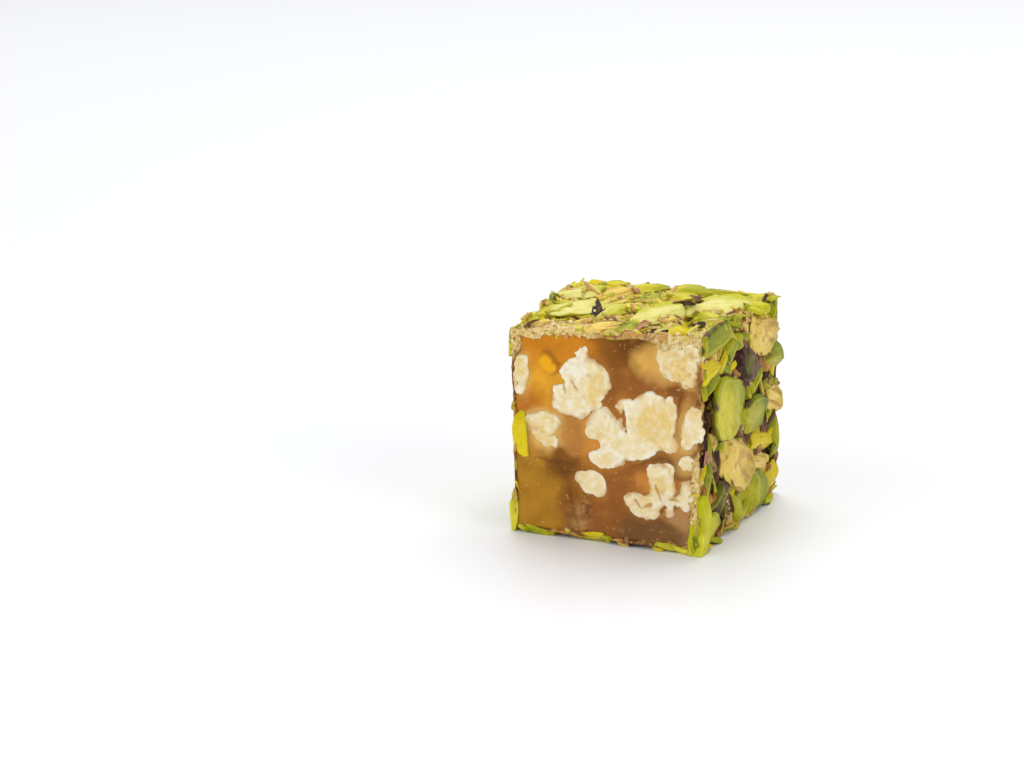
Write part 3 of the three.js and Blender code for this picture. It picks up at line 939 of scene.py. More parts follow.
def bed_finish():
    tint = BED_TINTS
    finish = Finish("sticky bed")
    lift, rim, high, near_cut = (finish.attribute(name) for name in ("lift", "rim", "high", "near_cut"))
    grain = finish.speckle(0.5, 5)
    patch = finish.speckle(2.2, 3)
    cream = finish.sum(((high, 0.8), (1.0, 0.15)))
    paste = finish.mix(finish.step(patch, 0.4, 0.6), tint["dark_paste"], tint["paste"])
    paste = finish.mix(finish.times(finish.step(grain, 0.5, 0.7), cream), paste, tint["pale_paste"])
    # Where the bed sinks between the pieces it is painted near black: painted shade.
    raised = finish.step(finish.sum(((lift, 1.0), (high, 0.5))), 0.0, 0.6)
    colour = finish.mix(raised, tint["gap"], paste)
    amber = finish.mix(finish.step(patch, 0.45, 0.6), tint["dark_amber"], tint["amber"])
    crust = finish.mix(high, amber, tint["crust"])
    crust = finish.mix(finish.times(finish.step(patch, 0.4, 0.65), cream), crust, tint["pale_crust"])
    crust = finish.mix(finish.times(finish.step(grain, 0.45, 0.65), cream), crust, tint["cream"])
    # Darker in the pits of the grain, which the bump sinks: painted shade.
    crust = finish.mix(finish.step(grain, 0.42, 0.28), crust, tint["pit"])
    colour = finish.mix(finish.most(rim, finish.times(near_cut, 0.8)), colour, crust)
    finish.set(Base_Color=colour, Roughness=0.5, Specular_IOR_Level=0.08)
    finish.set(Subsurface_Weight=0.15, Subsurface_Scale=0.0008, Subsurface_Radius=(1.0, 0.6, 0.25))
    finish.set(Normal=finish.bump(grain, 0.35))
    return finish.material


bed_skin = bed_finish()
print("bed nodes:", len(bed_skin.node_tree.nodes))

# %% Sleeve of the bed
AROUND = 90
ALONG = 84
RIM_STEPS = 8
RIM_REACH = HALF_JELLY + 0.5


def mesh_of(name, points, faces):
    mesh = bpy.data.meshes.new(name)
    mesh.from_pydata((points * MM).tolist(), [], faces)
    return mesh


def round_a_square(count):
    """Places round a square of half size 1, with the given count on each side."""
    steps = np.linspace(-1, 1, count, endpoint=False)
    ones = np.ones(count)
    right, top = np.c_[ones, steps], np.c_[-steps, ones]
    return np.concatenate([right, top, -right, -top])


def sleeve():
    """A closed sleeve round the bar: inside, front rim, outside and back rim."""
    rim = np.linspace(RIM_REACH, BED_TOP, RIM_STEPS)
    profile = [(r, -MIDDLE) for r in rim]
    profile += [(BED_TOP, y) for y in np.linspace(-MIDDLE, MIDDLE, ALONG)[1:-1]]
    profile += [(r, MIDDLE) for r in rim[::-1]]
    places = round_a_square(AROUND)
    rings = [np.c_[places[:, 0] * r, np.full(len(places), y), places[:, 1] * r + MIDDLE] for r, y in profile]
    around, count = len(places), len(profile)
    faces = []
    for ring in range(count):
        here, there = ring * around, (ring + 1) % count * around
        for n in range(around):
            after = (n + 1) % around
            faces.append((here + n, there + n, there + after, here + after))
    return np.concatenate(rings), faces


bed_points, bed_faces = sleeve()
bed = mesh_of("bed", bed_points, bed_faces)
print("bed faces:", len(bed.polygons))

# %% [markdown]
# ## The bed: crust and gaps
# Along each cut the bed is a crust that hangs over the jelly's edge. It is pale at the top and at two
# corners, and almost missing on one stretch of the front edge. Fields over the points say where, so that
# the relief, the finish and later the crumbs agree. A painted mask could say the same, but a field needs
# no image.

# %% Relief of the bed
LIFT_LAYERS = ((0.6, 3.0, 9, 2), (0.2, 0.8, 10, 2))
OVERLAP_LAYERS = ((0.9, 4.0, 13, 3), (0.4, 0.9, 14, 2))
LOWEST_LIFT = -0.25
RIM_LIFT = 0.4  # share of the lift that the rims take
GAP_DEPTH = 0.7
TOP_OVERLAP = 0.3  # how much further the crust hangs over at the top
FADE = 3.0  # over which the pale crust of the top fades down the sides
THIN_CRUST = (2.5, 6.0)  # middle and half width of the front edge of the top where little crust lies
LEAST_CRUST = 0.1
# Where the coat reaches further in over the cut: x, z, half width, half height
LOW_CORNER = (15.5, 2.5, 2.2, 6.0)
HIGH_CORNER = (-15.8, 28.5, 2.6, 4.5)
# A walnut piece that reaches the rim, and how far the rim sinks under it
EDGE_WALNUT = (-13.3, 22.7, 1.2, 2.7)
EDGE_SINK = 0.7
BED_FOOT = 0.3  # keeps the bed clear of the table
HAIR = 0.01  # how near a point of a cut is to its plane


def inside(lobes, x, z):
    """How far inside a group of lobes each place is, in millimetres; negative outside."""
    best = np.full(x.shape, -99.0)
    for middle_x, middle_z, half_width, half_height in lobes:
        reach = np.hypot((x - middle_x) / half_width, (z - middle_z) / half_height)
        best = np.maximum(best, (1 - reach) * min(half_width, half_height))
    return best


def within(lobes, points, sharpness=1):
    """The same for points of the block, as a share from 0 to 1."""
    return np.clip(sharpness * inside(lobes, points[:, 0], points[:, 2]), 0, 1)


def gap_share(points):
    """How deep points of the right side lie in the dark gap, from 0 to 1."""
    along, across, half_length, half_height = DARK_GAP
    gap = (along, across + MIDDLE, half_length, half_height)
    return within([gap], points[:, [1, 0, 2]]) * (points[:, 0] > HALF_JELLY)


outward = normals_of(bed)
on_rim = np.abs(bed_points[:, 1]) > MIDDLE - HAIR
lift = np.maximum(layers(bed_points, LIFT_LAYERS), LOWEST_LIFT)
lift -= GAP_DEPTH * gap_share(bed_points)
from_middle = bed_points * (1, 0, 1) - (0, 0, MIDDLE)
from_axis = np.abs(from_middle).max(axis=1)
at_top = from_middle[:, 2] > HALF_JELLY
crusty = np.clip((np.abs(bed_points[:, 0] - THIN_CRUST[0]) - THIN_CRUST[1]) / FADE + 1, LEAST_CRUST, 1)
crusty = np.where(at_top & (bed_points[:, 1] < 0), crusty, 1)
overlap = crusty * (layers(bed_points, OVERLAP_LAYERS) + TOP_OVERLAP * at_top)
overlap = np.maximum(overlap + within([LOW_CORNER, HIGH_CORNER], bed_points), LOWEST_LIFT)
overlap *= np.where(on_rim, (BED_TOP - from_axis) / (BED_TOP - RIM_REACH), 0)
bed_points += outward * np.where(on_rim, RIM_LIFT * lift, lift)[:, None]
bed_points -= from_middle * (overlap / from_axis)[:, None]
at_front = bed_points[:, 1] < 1 - MIDDLE
bed_points[:, 1] += EDGE_SINK * within([EDGE_WALNUT], bed_points, 2) * at_front
bed_points[:, 2] = np.maximum(bed_points[:, 2], BED_FOOT)
place_points(bed, soften(bed_points))
print("bed lift from", round(lift.min(), 2), "to", round(lift.max(), 2), "mm")

# %% Pale and dark places of the bed
CREAM_HEIGHT = 14  # below it the right rim is cream again
CREAM_SHARE = 0.9

high = np.clip((from_middle[:, 2] - HALF_JELLY) / FADE + 1, 0, 1)
near_cut = np.clip(2 - (MIDDLE - np.abs(bed_points[:, 1])) / BARE_STRIP, 0, 1)
low_share = np.clip((CREAM_HEIGHT - bed_points[:, 2]) / FADE, 0, CREAM_SHARE)
low_right = (bed_points[:, 0] > HALF_JELLY) * low_share
upper_left = within([HIGH_CORNER], bed_points, 2)
high = np.maximum(high, on_rim * np.maximum(low_right, upper_left))
high *= crusty
near_cut *= crusty
for name, values in (("rim", on_rim), ("lift", lift), ("high", high), ("near_cut", near_cut * at_top)):
    store(bed, name, values)
bed_piece = show("coat_bed", bed, bed_skin)
stand_for(bed_piece, "pistachio_coat")
print("pale share of the bed:", round(high.mean(), 2))

# %% [markdown]
# ## The walnut pieces: outlines
# Where the knife went through a walnut piece, one sees its cut: rounded lobes run together, with notches
# and cracks. The lobes are the ones of the solids, with small ones added. A field tells for any place on
# the cut how far inside the lobes it is, and the place is shaken a little by noise first, which makes the
# outline ragged. The jelly reads the same field later.

# %% Lobes, notches and grooves
# Each lobe is x, z, half width and half height
FRONT_WALNUTS = {
    "upper": [(-2.8, 22.6, 3.0, 3.5), (-5.9, 19.6, 2.5, 2.2), (-4.2, 18.8, 2.0, 1.5), (-3.8, 26.2, 1.0, 1.6)],
    "left_edge": [(-13.1, 23.4, 1.3, 2.5)],
    "left": [(-10.0, 15.8, 2.3, 2.2), (-8.9, 13.7, 1.6, 1.1)],
    "centre": [
        (-0.5, 16.1, 2.5, 3.0),
        (6.8, 17.5, 3.9, 4.2),
        (0.2, 12.1, 3.0, 1.6),
        (4.4, 14.0, 3.6, 1.9),
        (3.2, 19.3, 1.9, 1.3),
    ],
    "right_edge": [(13.0, 17.4, 1.6, 2.7)],
    "corner": [(10.4, 26.0, 2.9, 2.4), (12.2, 24.3, 1.4, 1.6)],
    "lower": [(-2.0, 8.4, 2.1, 1.8), (-3.4, 9.0, 1.6, 1.05), (-1.2, 7.7, 1.4, 1.4)],
    "curl": [
        (8.6, 10.7, 2.1, 1.6),
        (8.8, 8.8, 2.1, 2.3),
        (6.2, 5.9, 2.5, 1.8),
        (4.4, 6.6, 1.3, 1.3),
        (10.6, 7.0, 1.5, 1.0),
        (12.7, 7.9, 1.15, 2.25),
    ],
}
# Small lobes that fill out the outlines
MORE_LOBES = {
    "upper": [(-4.9, 23.4, 2.0, 2.4), (-2.2, 19.6, 1.7, 1.3), (-6.4, 21.2, 1.9, 1.8), (-1.2, 22.8, 1.9, 2.6)],
    "left_edge": [EDGE_WALNUT],
    "left": [(-11.1, 16.2, 1.3, 1.4), (-9.8, 14.2, 1.4, 1.2), (-8.0, 16.4, 1.2, 1.1)],
    "centre": [(2.5, 14.5, 2.2, 1.5), (9.5, 14.8, 1.7, 1.3), (9.4, 19.4, 1.5, 1.9), (2.0, 16.4, 1.0, 1.5)],
    "right_edge": [
        (13.9, 16.4, 1.1, 1.6),
        (13.6, 19.0, 0.9, 1.1),
        (12.7, 12.3, 1.5, 1.1),
        (12.5, 15.2, 1.0, 1.0),
    ],
    "corner": [(12.6, 27.2, 1.4, 1.4), (8.6, 27.0, 1.3, 1.3)],
    "curl": [(9.9, 5.6, 1.0, 0.7), (7.6, 7.0, 1.5, 1.3), (11.9, 7.4, 1.2, 1.1), (12.4, 8.8, 1.0, 1.3)],
}
# Notches that the jelly fills
NOTCHES = {
    "upper": [(-7.9, 22.4, 1.4, 0.45)],
    "centre": [(-2.5, 13.9, 1.6, 0.75), (2.7, 17.8, 0.25, 1.0)],
    "curl": [(5.9, 8.4, 0.7, 0.9), (8.9, 5.7, 0.45, 0.35), (11.0, 6.2, 0.4, 0.35), (11.2, 9.8, 0.5, 1.0)],
}
# Colour from cream to tan, and how crumbly the cut is
WALNUT_LOOKS = {
    "upper": (0.35, 0.7),
    "left_edge": (0.8, 0.6),
    "left": (0.75, 1.1),
    "centre": (0.45, 0.8),
    "right_edge": (0.75, 0.9),
    "corner": (0.85, 1.4),
    "lower": (0.45, 0.1),
    "curl": (0.5, 0.8),
}
BACK_LOOK = (0.4, 1.0)
# Smooth tan patches of a cut, and grooves from one point to another, sunk and painted darker as shade
TAN_PATCHES = [(7.4, 17.4, 2.8, 2.8), (-1.2, 21.6, 1.6, 3.2), (8.4, 9.0, 1.4, 1.6), (11.0, 25.0, 2.0, 1.6)]
GROOVES = [
    (-6.6, 22.4, -6.0, 20.7),
    (-5.2, 22.5, -4.2, 21.1),
    (4.8, 6.8, 5.8, 5.6),
    (5.8, 5.6, 7.6, 6.2),
    (7.9, 9.2, 8.5, 7.2),
    (10.0, 7.4, 11.6, 7.2),
]
print("lobes on the front cut:", sum(map(len, FRONT_WALNUTS.values())))

# %% Fields of the cut
BACK_RULE = {"across": 3, "size": (2.2, 3.3), "lobes": 3, "skipped": (2, 4, 6), "seed": 41}
BACK_JITTER = 0.26
BACK_REACH = 0.9
BACK_SQUASH = (0.75, 1.1)
BACK_TURN = (1.4, 2.4)
BACK_SMALLER = (0.5, 0.75)


def back_walnuts():
    """The lobes at the back cut, by the same rule as in the solids."""
    draw = draws(BACK_RULE["seed"])
    across = BACK_RULE["across"]
    pitch = JELLY / across
    groups = {}
    for cell in range(across * across):
        x, z = (
            (n + 0.5 + BACK_JITTER * (2 * next(draw) - 1)) * pitch - HALF_JELLY
            for n in (cell % across, cell // across)
        )
        radius = between(BACK_RULE["size"], next(draw))
        recipe = [(x, z + MIDDLE, radius, radius * between(BACK_SQUASH, next(draw)))]
        angle = 2 * np.pi * next(draw)
        for _ in range(1, BACK_RULE["lobes"]):
            angle += between(BACK_TURN, next(draw))
            small = radius * between(BACK_SMALLER, next(draw))
            reach = BACK_REACH * radius
            recipe.append((x + reach * np.cos(angle), z + MIDDLE + reach * np.sin(angle), small, small))
        if cell not in BACK_RULE["skipped"]:
            groups[str(cell + 1)] = recipe
    return groups


def shaken(x, z, seed, crumbly):
    """Places shaken by noise, to make outlines ragged."""
    points = np.c_[x, np.full(x.shape, float(seed)), z]
    broad, fine = 0.15 + 0.2 * crumbly, 0.04 + 0.14 * crumbly
    broad_x, broad_z = (noise(points, 1.7, seed + n, 2) for n in range(2))
    fine_x, fine_z = (noise(points, 0.45, seed + 7 + n) for n in range(2))
    return x + broad * broad_x + fine * fine_x, z + broad * broad_z + fine * fine_z


def cut_through(lobes, notches, x, z, seed, crumbly):
    """The field of one walnut piece on its cut."""
    x, z = shaken(x, z, seed, crumbly)
    field = inside(lobes, x, z)
    for notch in notches:
        field = np.minimum(field, -inside([notch], x, z))
    return field


def notches_and_look(cut, name):
    """What is cut out of a walnut piece, and its colour and crumbliness."""
    if cut == "front":
        return NOTCHES.get(name, []), WALNUT_LOOKS[name]
    return [], BACK_LOOK


def seams(rows, x, z, width):
    """1 along the rows' lines, 0 away from them."""
    best = np.zeros(x.shape)
    for start_x, start_z, end_x, end_z in rows:
        run_x, run_z = end_x - start_x, end_z - start_z
        share = np.clip(((x - start_x) * run_x + (z - start_z) * run_z) / (run_x**2 + run_z**2), 0, 1)
        away = np.hypot(x - start_x - share * run_x, z - start_z - share * run_z)
        best = np.maximum(best, np.exp(-((away / width) ** 2)) * np.sin(np.pi * (0.15 + 0.7 * share)))
    return best


def threads(points, size, width, seed):
    """1 along thin winding lines, 0 away from them."""
    return np.exp(-((noise(points, size, seed, 2) / width) ** 2))


recipes = {("front", name): lobes + MORE_LOBES.get(name, []) for name, lobes in FRONT_WALNUTS.items()}
recipes |= {("back", name): lobes for name, lobes in back_walnuts().items()}
print("walnut pieces:", len(recipes))

# %% [markdown]
# ## The walnut pieces: bodies
# A fine grid over the cut keeps only the places inside the field. Its edge points are moved onto the
# outline itself, so the outline is smooth and not stepped. One sheet becomes the cut, with grain, pits
# and cracks, and a second sheet bulges back into the jelly and closes the body.

# %% Walnut finish
# Two of these colours are painted light: white, a highlight where the mottle's relief rises, and a darker
# tan, shade where it sinks. The crack colour is painted shade in cracks, grooves and pits, and jelly smeared
# over the outline in patches.
WALNUT_TINTS = palette(
    pale=(244, 235, 210),
    cream=(238, 221, 174),
    tan=(233, 205, 134),
    white=(247, 241, 222),
    worn=(212, 176, 110),
    crack=(196, 144, 72),
)


def walnut_finish():
    tint = WALNUT_TINTS
    finish = Finish("walnut")
    tone, crack = finish.attribute("tone"), finish.attribute("crack")
    mottle = finish.speckle(0.9, 3)
    grain = finish.speckle(0.3, 3)
    colour = finish.mix(finish.step(tone, 0.0, 0.5), tint["pale"], tint["cream"])
    colour = finish.mix(finish.step(tone, 0.45, 1.0), colour, tint["tan"])
    # Whiter where the mottle's relief rises: a painted highlight.
    whiter = finish.times(finish.step(mottle, 0.5, 0.65), finish.sum(((tone, -0.5), (1.0, 0.8))))
    colour = finish.mix(whiter, colour, tint["white"])
    # Darker tan where the relief of mottle and grain sinks: painted shade.
    worn = finish.sum(((finish.step(mottle, 0.46, 0.3), 0.2), (finish.step(grain, 0.42, 0.3), 0.08)))
    colour = finish.mix(worn, colour, tint["worn"])
    # Painted shade in cracks, grooves and pits, and jelly smeared over the outline.
    colour = finish.mix(crack, colour, tint["crack"])
    finish.set(Base_Color=colour, Roughness=0.6, Specular_IOR_Level=0.2)
    finish.set(Subsurface_Weight=0.2, Subsurface_Scale=0.0006, Subsurface_Radius=(1.0, 0.75, 0.4))
    finish.set(Normal=finish.bump(finish.sum(((grain, 0.3), (mottle, 1.0))), 0.14))
    return finish.material


walnut = walnut_finish()
print("walnut nodes:", len(walnut.node_tree.nodes))

# %% Grid inside an outline
GRAIN_STEP = 0.11
LEAST_SLOPE = 0.05  # keeps the move onto the outline short where the field is flat


def grid_of(lobes):
    """A square grid of places that covers a group of lobes."""
    low = np.min([(x - w, z - h) for x, z, w, h in lobes], axis=0) - 1
    high = np.max([(x + w, z + h) for x, z, w, h in lobes], axis=0) + 1
    columns = np.arange(low[0], high[0], GRAIN_STEP)
    rows = np.arange(low[1], high[1], GRAIN_STEP)
    return np.meshgrid(columns, rows)


def outline_grid(lobes, notches, seed, crumbly):
    """Places, field and faces of a piece's cut, with marks for the places in use and those on the outline."""
    x, z = grid_of(lobes)
    shape = x.shape
    field = cut_through(lobes, notches, x.ravel(), z.ravel(), seed, crumbly).reshape(shape)
    kept = field > -0.5 * GRAIN_STEP
    cells = kept[:-1, :-1] & kept[1:, :-1] & kept[:-1, 1:] & kept[1:, 1:]
    touched = np.zeros(shape, int)
    for row, column in product((0, 1), repeat=2):
        touched[row : shape[0] - 1 + row, column : shape[1] - 1 + column] += cells
    edge = (touched > 0) & (touched < 4)
    slope_z, slope_x = np.gradient(field, GRAIN_STEP)
    steep = np.maximum(slope_x**2 + slope_z**2, LEAST_SLOPE)
    shift = np.clip(field / steep, -GRAIN_STEP, GRAIN_STEP) * edge
    x, z = x - shift * slope_x, z - shift * slope_z
    field = np.where(edge, 0, np.maximum(field, 0))
    places = np.arange(x.size).reshape(shape)
    quads = np.stack([places[:-1, :-1], places[:-1, 1:], places[1:, 1:], places[1:, :-1]], -1)[cells]
    return x.ravel(), z.ravel(), field.ravel(), quads, touched.ravel() > 0, edge.ravel()


print("grid step in mm:", GRAIN_STEP)

# %% Relief and tones of a cut
EDGE_ROLL = 0.25  # width of the rounded edge of a cut
EDGE_HEIGHT = -0.28  # of the outline, under the jelly's surface
CUT_RISE = 0.26
RELIEF = 0.9
DEEPEST_PIT = -0.12
CRACK_DEPTH = 0.35
GROOVE_WIDTH = 0.15
OUTLINE_BAND = 0.7  # width of the band along the outline that differs in colour


def cut_relief(flat, field, seed, crumbly, on_front):
    """Height of a cut over its plane, its roughness and its cracks."""
    lumps = 1 - 2 * np.abs(noise(flat, 0.9, seed + 25, 2))
    uneven = 0.25 * noise(flat, 1.8, seed + 20, 2) + 0.2 * lumps + 0.04 * noise(flat, 0.3, seed + 30)
    rough = crumbly * uneven
    cracked = np.clip(2.5 * noise(flat, 1.2, seed + 35, 2) - 0.4, 0, 1)
    deep = 0.25 * crumbly * cracked * threads(flat, 1.6, 0.1, seed + 40)
    if on_front:
        winding = 0.35 * noise(flat, 0.8, seed + 45, 2)
        deep = np.maximum(deep, seams(GROOVES, flat[:, 0] + winding, flat[:, 2] - winding, GROOVE_WIDTH))
    roll = np.clip(field / EDGE_ROLL, 0, 1) ** 0.5
    bumps = CUT_RISE + RELIEF * np.maximum(rough, DEEPEST_PIT)
    height = EDGE_HEIGHT + bumps * roll - CRACK_DEPTH * deep * roll
    return height, rough, deep


def cut_tones(flat, field, seed, tan, rough, deep, on_front):
    """How tan each place of a cut is, and how much of the darker colour it takes: painted shade in cracks,
    grooves and the lowest places of the relief, and jelly smeared over the outline in patches.
    """
    at_outline = np.clip(1 - field / OUTLINE_BAND, 0, 1)
    patchy = noise(flat, 2.2, seed + 55, 2)
    tone = tan + 0.4 * noise(flat, 2.2, seed + 50, 2) - 0.5 * at_outline * np.clip(0.6 + 2 * patchy, 0, 1)
    if on_front:
        tone += 0.5 * within(TAN_PATCHES, flat, 1.5)
    # The lowest places of the relief are painted darker, as shade.
    pits = np.clip(-rough * 2 - 0.25, 0, 0.4)
    crack = np.maximum(0.8 * deep, pits) + 0.8 * at_outline * np.clip(-2 * patchy, 0, 1)
    return np.clip(tone, 0, 1), np.clip(crack, 0, 1)


print("height of a smooth cut in mm:", round(EDGE_HEIGHT + CUT_RISE, 2))

# %% Walnut pieces
LOBE_DEPTH = 0.85
BACK_SHEET = 0.3  # how far behind the cut the second sheet starts


def walnut_piece(cut, name, lobes, seed):
    """A closed mesh: one sheet for the cut and one that bulges into the jelly, joined along the outline."""
    on_front = cut == "front"
    facing = -1 if on_front else 1
    notches, (tan, crumbly) = notches_and_look(cut, name)
    x, z, field, quads, used, edge = outline_grid(lobes, notches, seed, crumbly)
    flat = np.c_[x, np.full(x.size, float(seed)), z]
    height, rough, deep = cut_relief(flat, field, seed, crumbly, on_front)
    size = np.mean([w + h for _, _, w, h in lobes]) / 2
    bulge = LOBE_DEPTH * np.sqrt(field * size)
    numbers = np.full(x.size, -1)
    numbers[used] = np.arange(used.sum())
    inner = used & ~edge
    behind = np.where(inner, used.sum() + np.cumsum(inner) - 1, numbers)
    front_points = np.c_[x, facing * (MIDDLE + height), z]
    back_points = np.c_[x, facing * (MIDDLE - BACK_SHEET - bulge), z]
    points = np.concatenate([front_points[used], back_points[inner]])
    outer_faces, inner_faces = numbers[quads], behind[quads][:, ::-1]
    if not on_front:
        outer_faces, inner_faces = outer_faces[:, ::-1], inner_faces[:, ::-1]
    mesh = mesh_of(name, soften(points), outer_faces.tolist() + inner_faces.tolist())
    tone, crack = cut_tones(flat, field, seed, tan, rough, deep, on_front)
    for label, values in (("tone", tone), ("crack", crack)):
        store(mesh, label, np.concatenate([values[used], values[inner]]))
    return mesh


for seed, ((cut, name), lobes) in enumerate(recipes.items()):
    mesh = walnut_piece(cut, name, lobes, seed)
    piece = show(f"walnut_piece_{cut}_{name}", mesh, walnut)
    stand_for(piece, f"walnut_{cut}_{name}")
    print(piece.name, len(mesh.polygons), "faces")

# %% [markdown]
# ## The jelly
# Boiled starch and syrup set to a clear amber jelly. Its colour is deeper where it is thick and where little
# light reaches, and lighter where light comes through from behind, and a glow is painted round the nuts. A
# few broad zones paint that light and shade on each cut, with a painted reflection of the white table low on
# the front, kept as a colour on the points. The rest is a soft gloss, a slow wave left by the knife, a few
# folds and threads painted darker as shade, a bubble painted with a highlight and shade, and a little light
# under the skin.

# %% Zones, folds and sunk walnut
# Colours that the jelly takes, alone, with walnut close under it, and where something shows in it; some stand
# for painted light, shade and reflection
JELLY_COLOURS = palette(
    honey=(232, 168, 42),
    amber=(208, 131, 22),
    apricot=(220, 148, 62),
    rust=(190, 108, 22),
    olive=(179, 127, 31),
    toffee=(154, 94, 38),
    brown=(138, 84, 20),
    # painted shade between the walnut pieces, and low on the cut a painted grey-brown sheen of the table
    shade=(122, 84, 42),
    deep=(104, 58, 9),
    # a painted reflection of the white table, low on the cut
    milky=(190, 144, 92),
    pale_nut=(226, 176, 84),
    nut=(206, 154, 80),
    deep_nut=(190, 131, 60),
    nut_glow=(228, 184, 100),
    amber_glow=(216, 142, 48),
    bubble=(244, 178, 22),
    bubble_rim=(150, 82, 10),
    crumbled=(214, 166, 108),
    # painted shade along the folds and threads
    thread=(92, 50, 14),
)
# Zones of the cut: x, z, spread across, spread up, and the colour there. The bright zones at the upper left
# are painted light that comes through, the dark ones are deep jelly with painted shade, and the pale and
# grey-brown ones low on the cut are a painted reflection of the table.
ZONES = [
    (-9.5, 27.0, 5.0, 2.2, "amber"),
    (-5.0, 27.5, 2.5, 1.8, "amber"),
    (-9.5, 22.0, 3.0, 3.0, "honey"),
    (-12.0, 19.5, 2.5, 1.5, "rust"),
    (0.5, 26.0, 2.8, 2.5, "brown"),
    (4.0, 27.0, 1.6, 1.8, "deep"),
    (4.0, 22.5, 4.5, 2.0, "toffee"),
    (11.0, 21.5, 2.2, 1.8, "toffee"),
    (-3.2, 15.5, 1.2, 2.6, "apricot"),
    (-11.0, 10.0, 3.0, 3.0, "olive"),
    (-5.5, 11.5, 2.8, 1.4, "brown"),
    (-7.0, 9.8, 1.6, 1.2, "deep"),
    (-10.5, 4.0, 3.5, 3.0, "olive"),
    (-6.2, 5.0, 1.4, 3.0, "brown"),
    (-4.2, 2.8, 1.6, 1.4, "milky"),
    (-1.0, 3.5, 2.6, 1.8, "toffee"),
    (3.0, 9.0, 2.6, 2.2, "toffee"),
    (6.0, 9.0, 1.0, 1.0, "apricot"),
    (8.0, 2.6, 4.5, 1.3, "shade"),
    (13.0, 4.0, 1.4, 1.6, "milky"),
    (10.5, 13.0, 3.0, 0.9, "shade"),
]
# Walnut that lies under the cut and shines through: x, z, half width, half height, colour
SUNK = [
    (6.6, 26.4, 2.6, 2.2, "pale_nut"),
    (8.8, 24.0, 2.4, 1.3, "nut"),
    (-9.4, 15.2, 4.2, 3.0, "nut"),
    (-5.4, 15.4, 2.2, 2.4, "deep_nut"),
    (11.4, 15.8, 1.6, 2.2, "nut"),
    (12.8, 21.0, 1.2, 2.4, "deep_nut"),
]
# How strongly a walnut piece shines through the jelly round its cut; a strong shine has the colour of walnut
SHINE = {"left": 0.9, "corner": 0.9, "right_edge": 0.6, "left_edge": 0.6, "centre": 0.35}
USUAL_SHINE = 0.25
STRONG_SHINE = 0.5
# A bubble just under the cut, painted as a bright highlight with painted shade along its right and upper rim,
# and a place where the knife has roughened the jelly
BUBBLE = [(-9.2, 24.9, 1.0, 1.3), (-8.6, 24.3, 0.9, 1.1)]
ROUGH_PATCH = (-3.0, 4.6, 2.2, 2.4)
# Folds in the jelly, from one point to another, where the surface dips and is painted darker as shade
FOLDS = [
    (-11.0, 11.2, -7.5, 10.6),
    (-7.5, 10.6, -4.2, 10.9),
    (-5.6, 7.6, -5.2, 4.2),
    (-5.2, 4.2, -4.2, 2.2),
    (11.4, 22.4, 11.0, 18.8),
    (4.2, 11.4, 9.2, 13.0),
    (8.5, 5.6, 9.3, 5.9),
    (10.7, 6.3, 11.4, 6.1),
]
# Where dark threads run in the jelly, dips painted darker as shade: x, z, half width, half height
STREAKED = [(-8.0, 10.4, 5.0, 2.0), (-4.8, 4.0, 1.8, 3.6), (-7.8, 24.8, 0.8, 1.4), (11.5, 21.5, 2.5, 2.5)]
print("zones:", len(ZONES), "sunk pieces:", len(SUNK), "folds:", len(FOLDS))

# %% Jelly colour
WANDER = 0.9  # how far noise moves the borders of what shows in the jelly
GLOW_BAND = 0.9  # width round a walnut piece that glows
FOLD_WIDTH = 0.25
SOFT = 0.5  # share of the wander that a bubble and a glow follow
FAINT = 0.3  # and the share that a fold follows
FAR_WEIGHT = 1e-5  # of a zone at places far from it


def zone_colour(x, z):
    """The zones' colours blended by nearness, as linear colour."""
    total = np.zeros((len(x), 3))
    weights = np.zeros(len(x))
    for middle_x, middle_z, spread_x, spread_z, colour in ZONES:
        weight = np.exp(-(((x - middle_x) / spread_x) ** 2) - ((z - middle_z) / spread_z) ** 2) + FAR_WEIGHT
        total += weight[:, None] * np.array(JELLY_COLOURS[colour][:3])
        weights += weight
    return total / weights[:, None]


def blend(colour, share, other):
    return colour + share[:, None] * (np.array(JELLY_COLOURS[other][:3]) - colour)


def with_nuts(colour, points, x, wander_x, wander_z):
    """The colour with sunk walnut under it and a glow round each piece that the cut shows."""
    z, front = points[:, 2], points[:, 1] < 0
    for middle_x, middle_z, half_width, half_height, other in SUNK:
        reach = np.hypot((x + wander_x - middle_x) / half_width, (z + wander_z - middle_z) / half_height)
        colour = blend(colour, np.clip(1.5 - 1.1 * reach, 0, 0.95) * front, other)
    for (cut, name), lobes in recipes.items():
        field = inside(lobes, points[:, 0] + SOFT * wander_x, z + SOFT * wander_z)
        on_it = np.clip(1 + field / GLOW_BAND, 0, 1) * (front == (cut == "front"))
        shine = SHINE.get(name, USUAL_SHINE)
        colour = blend(colour, shine * on_it**1.5, "nut_glow" if shine > STRONG_SHINE else "amber_glow")
    return colour


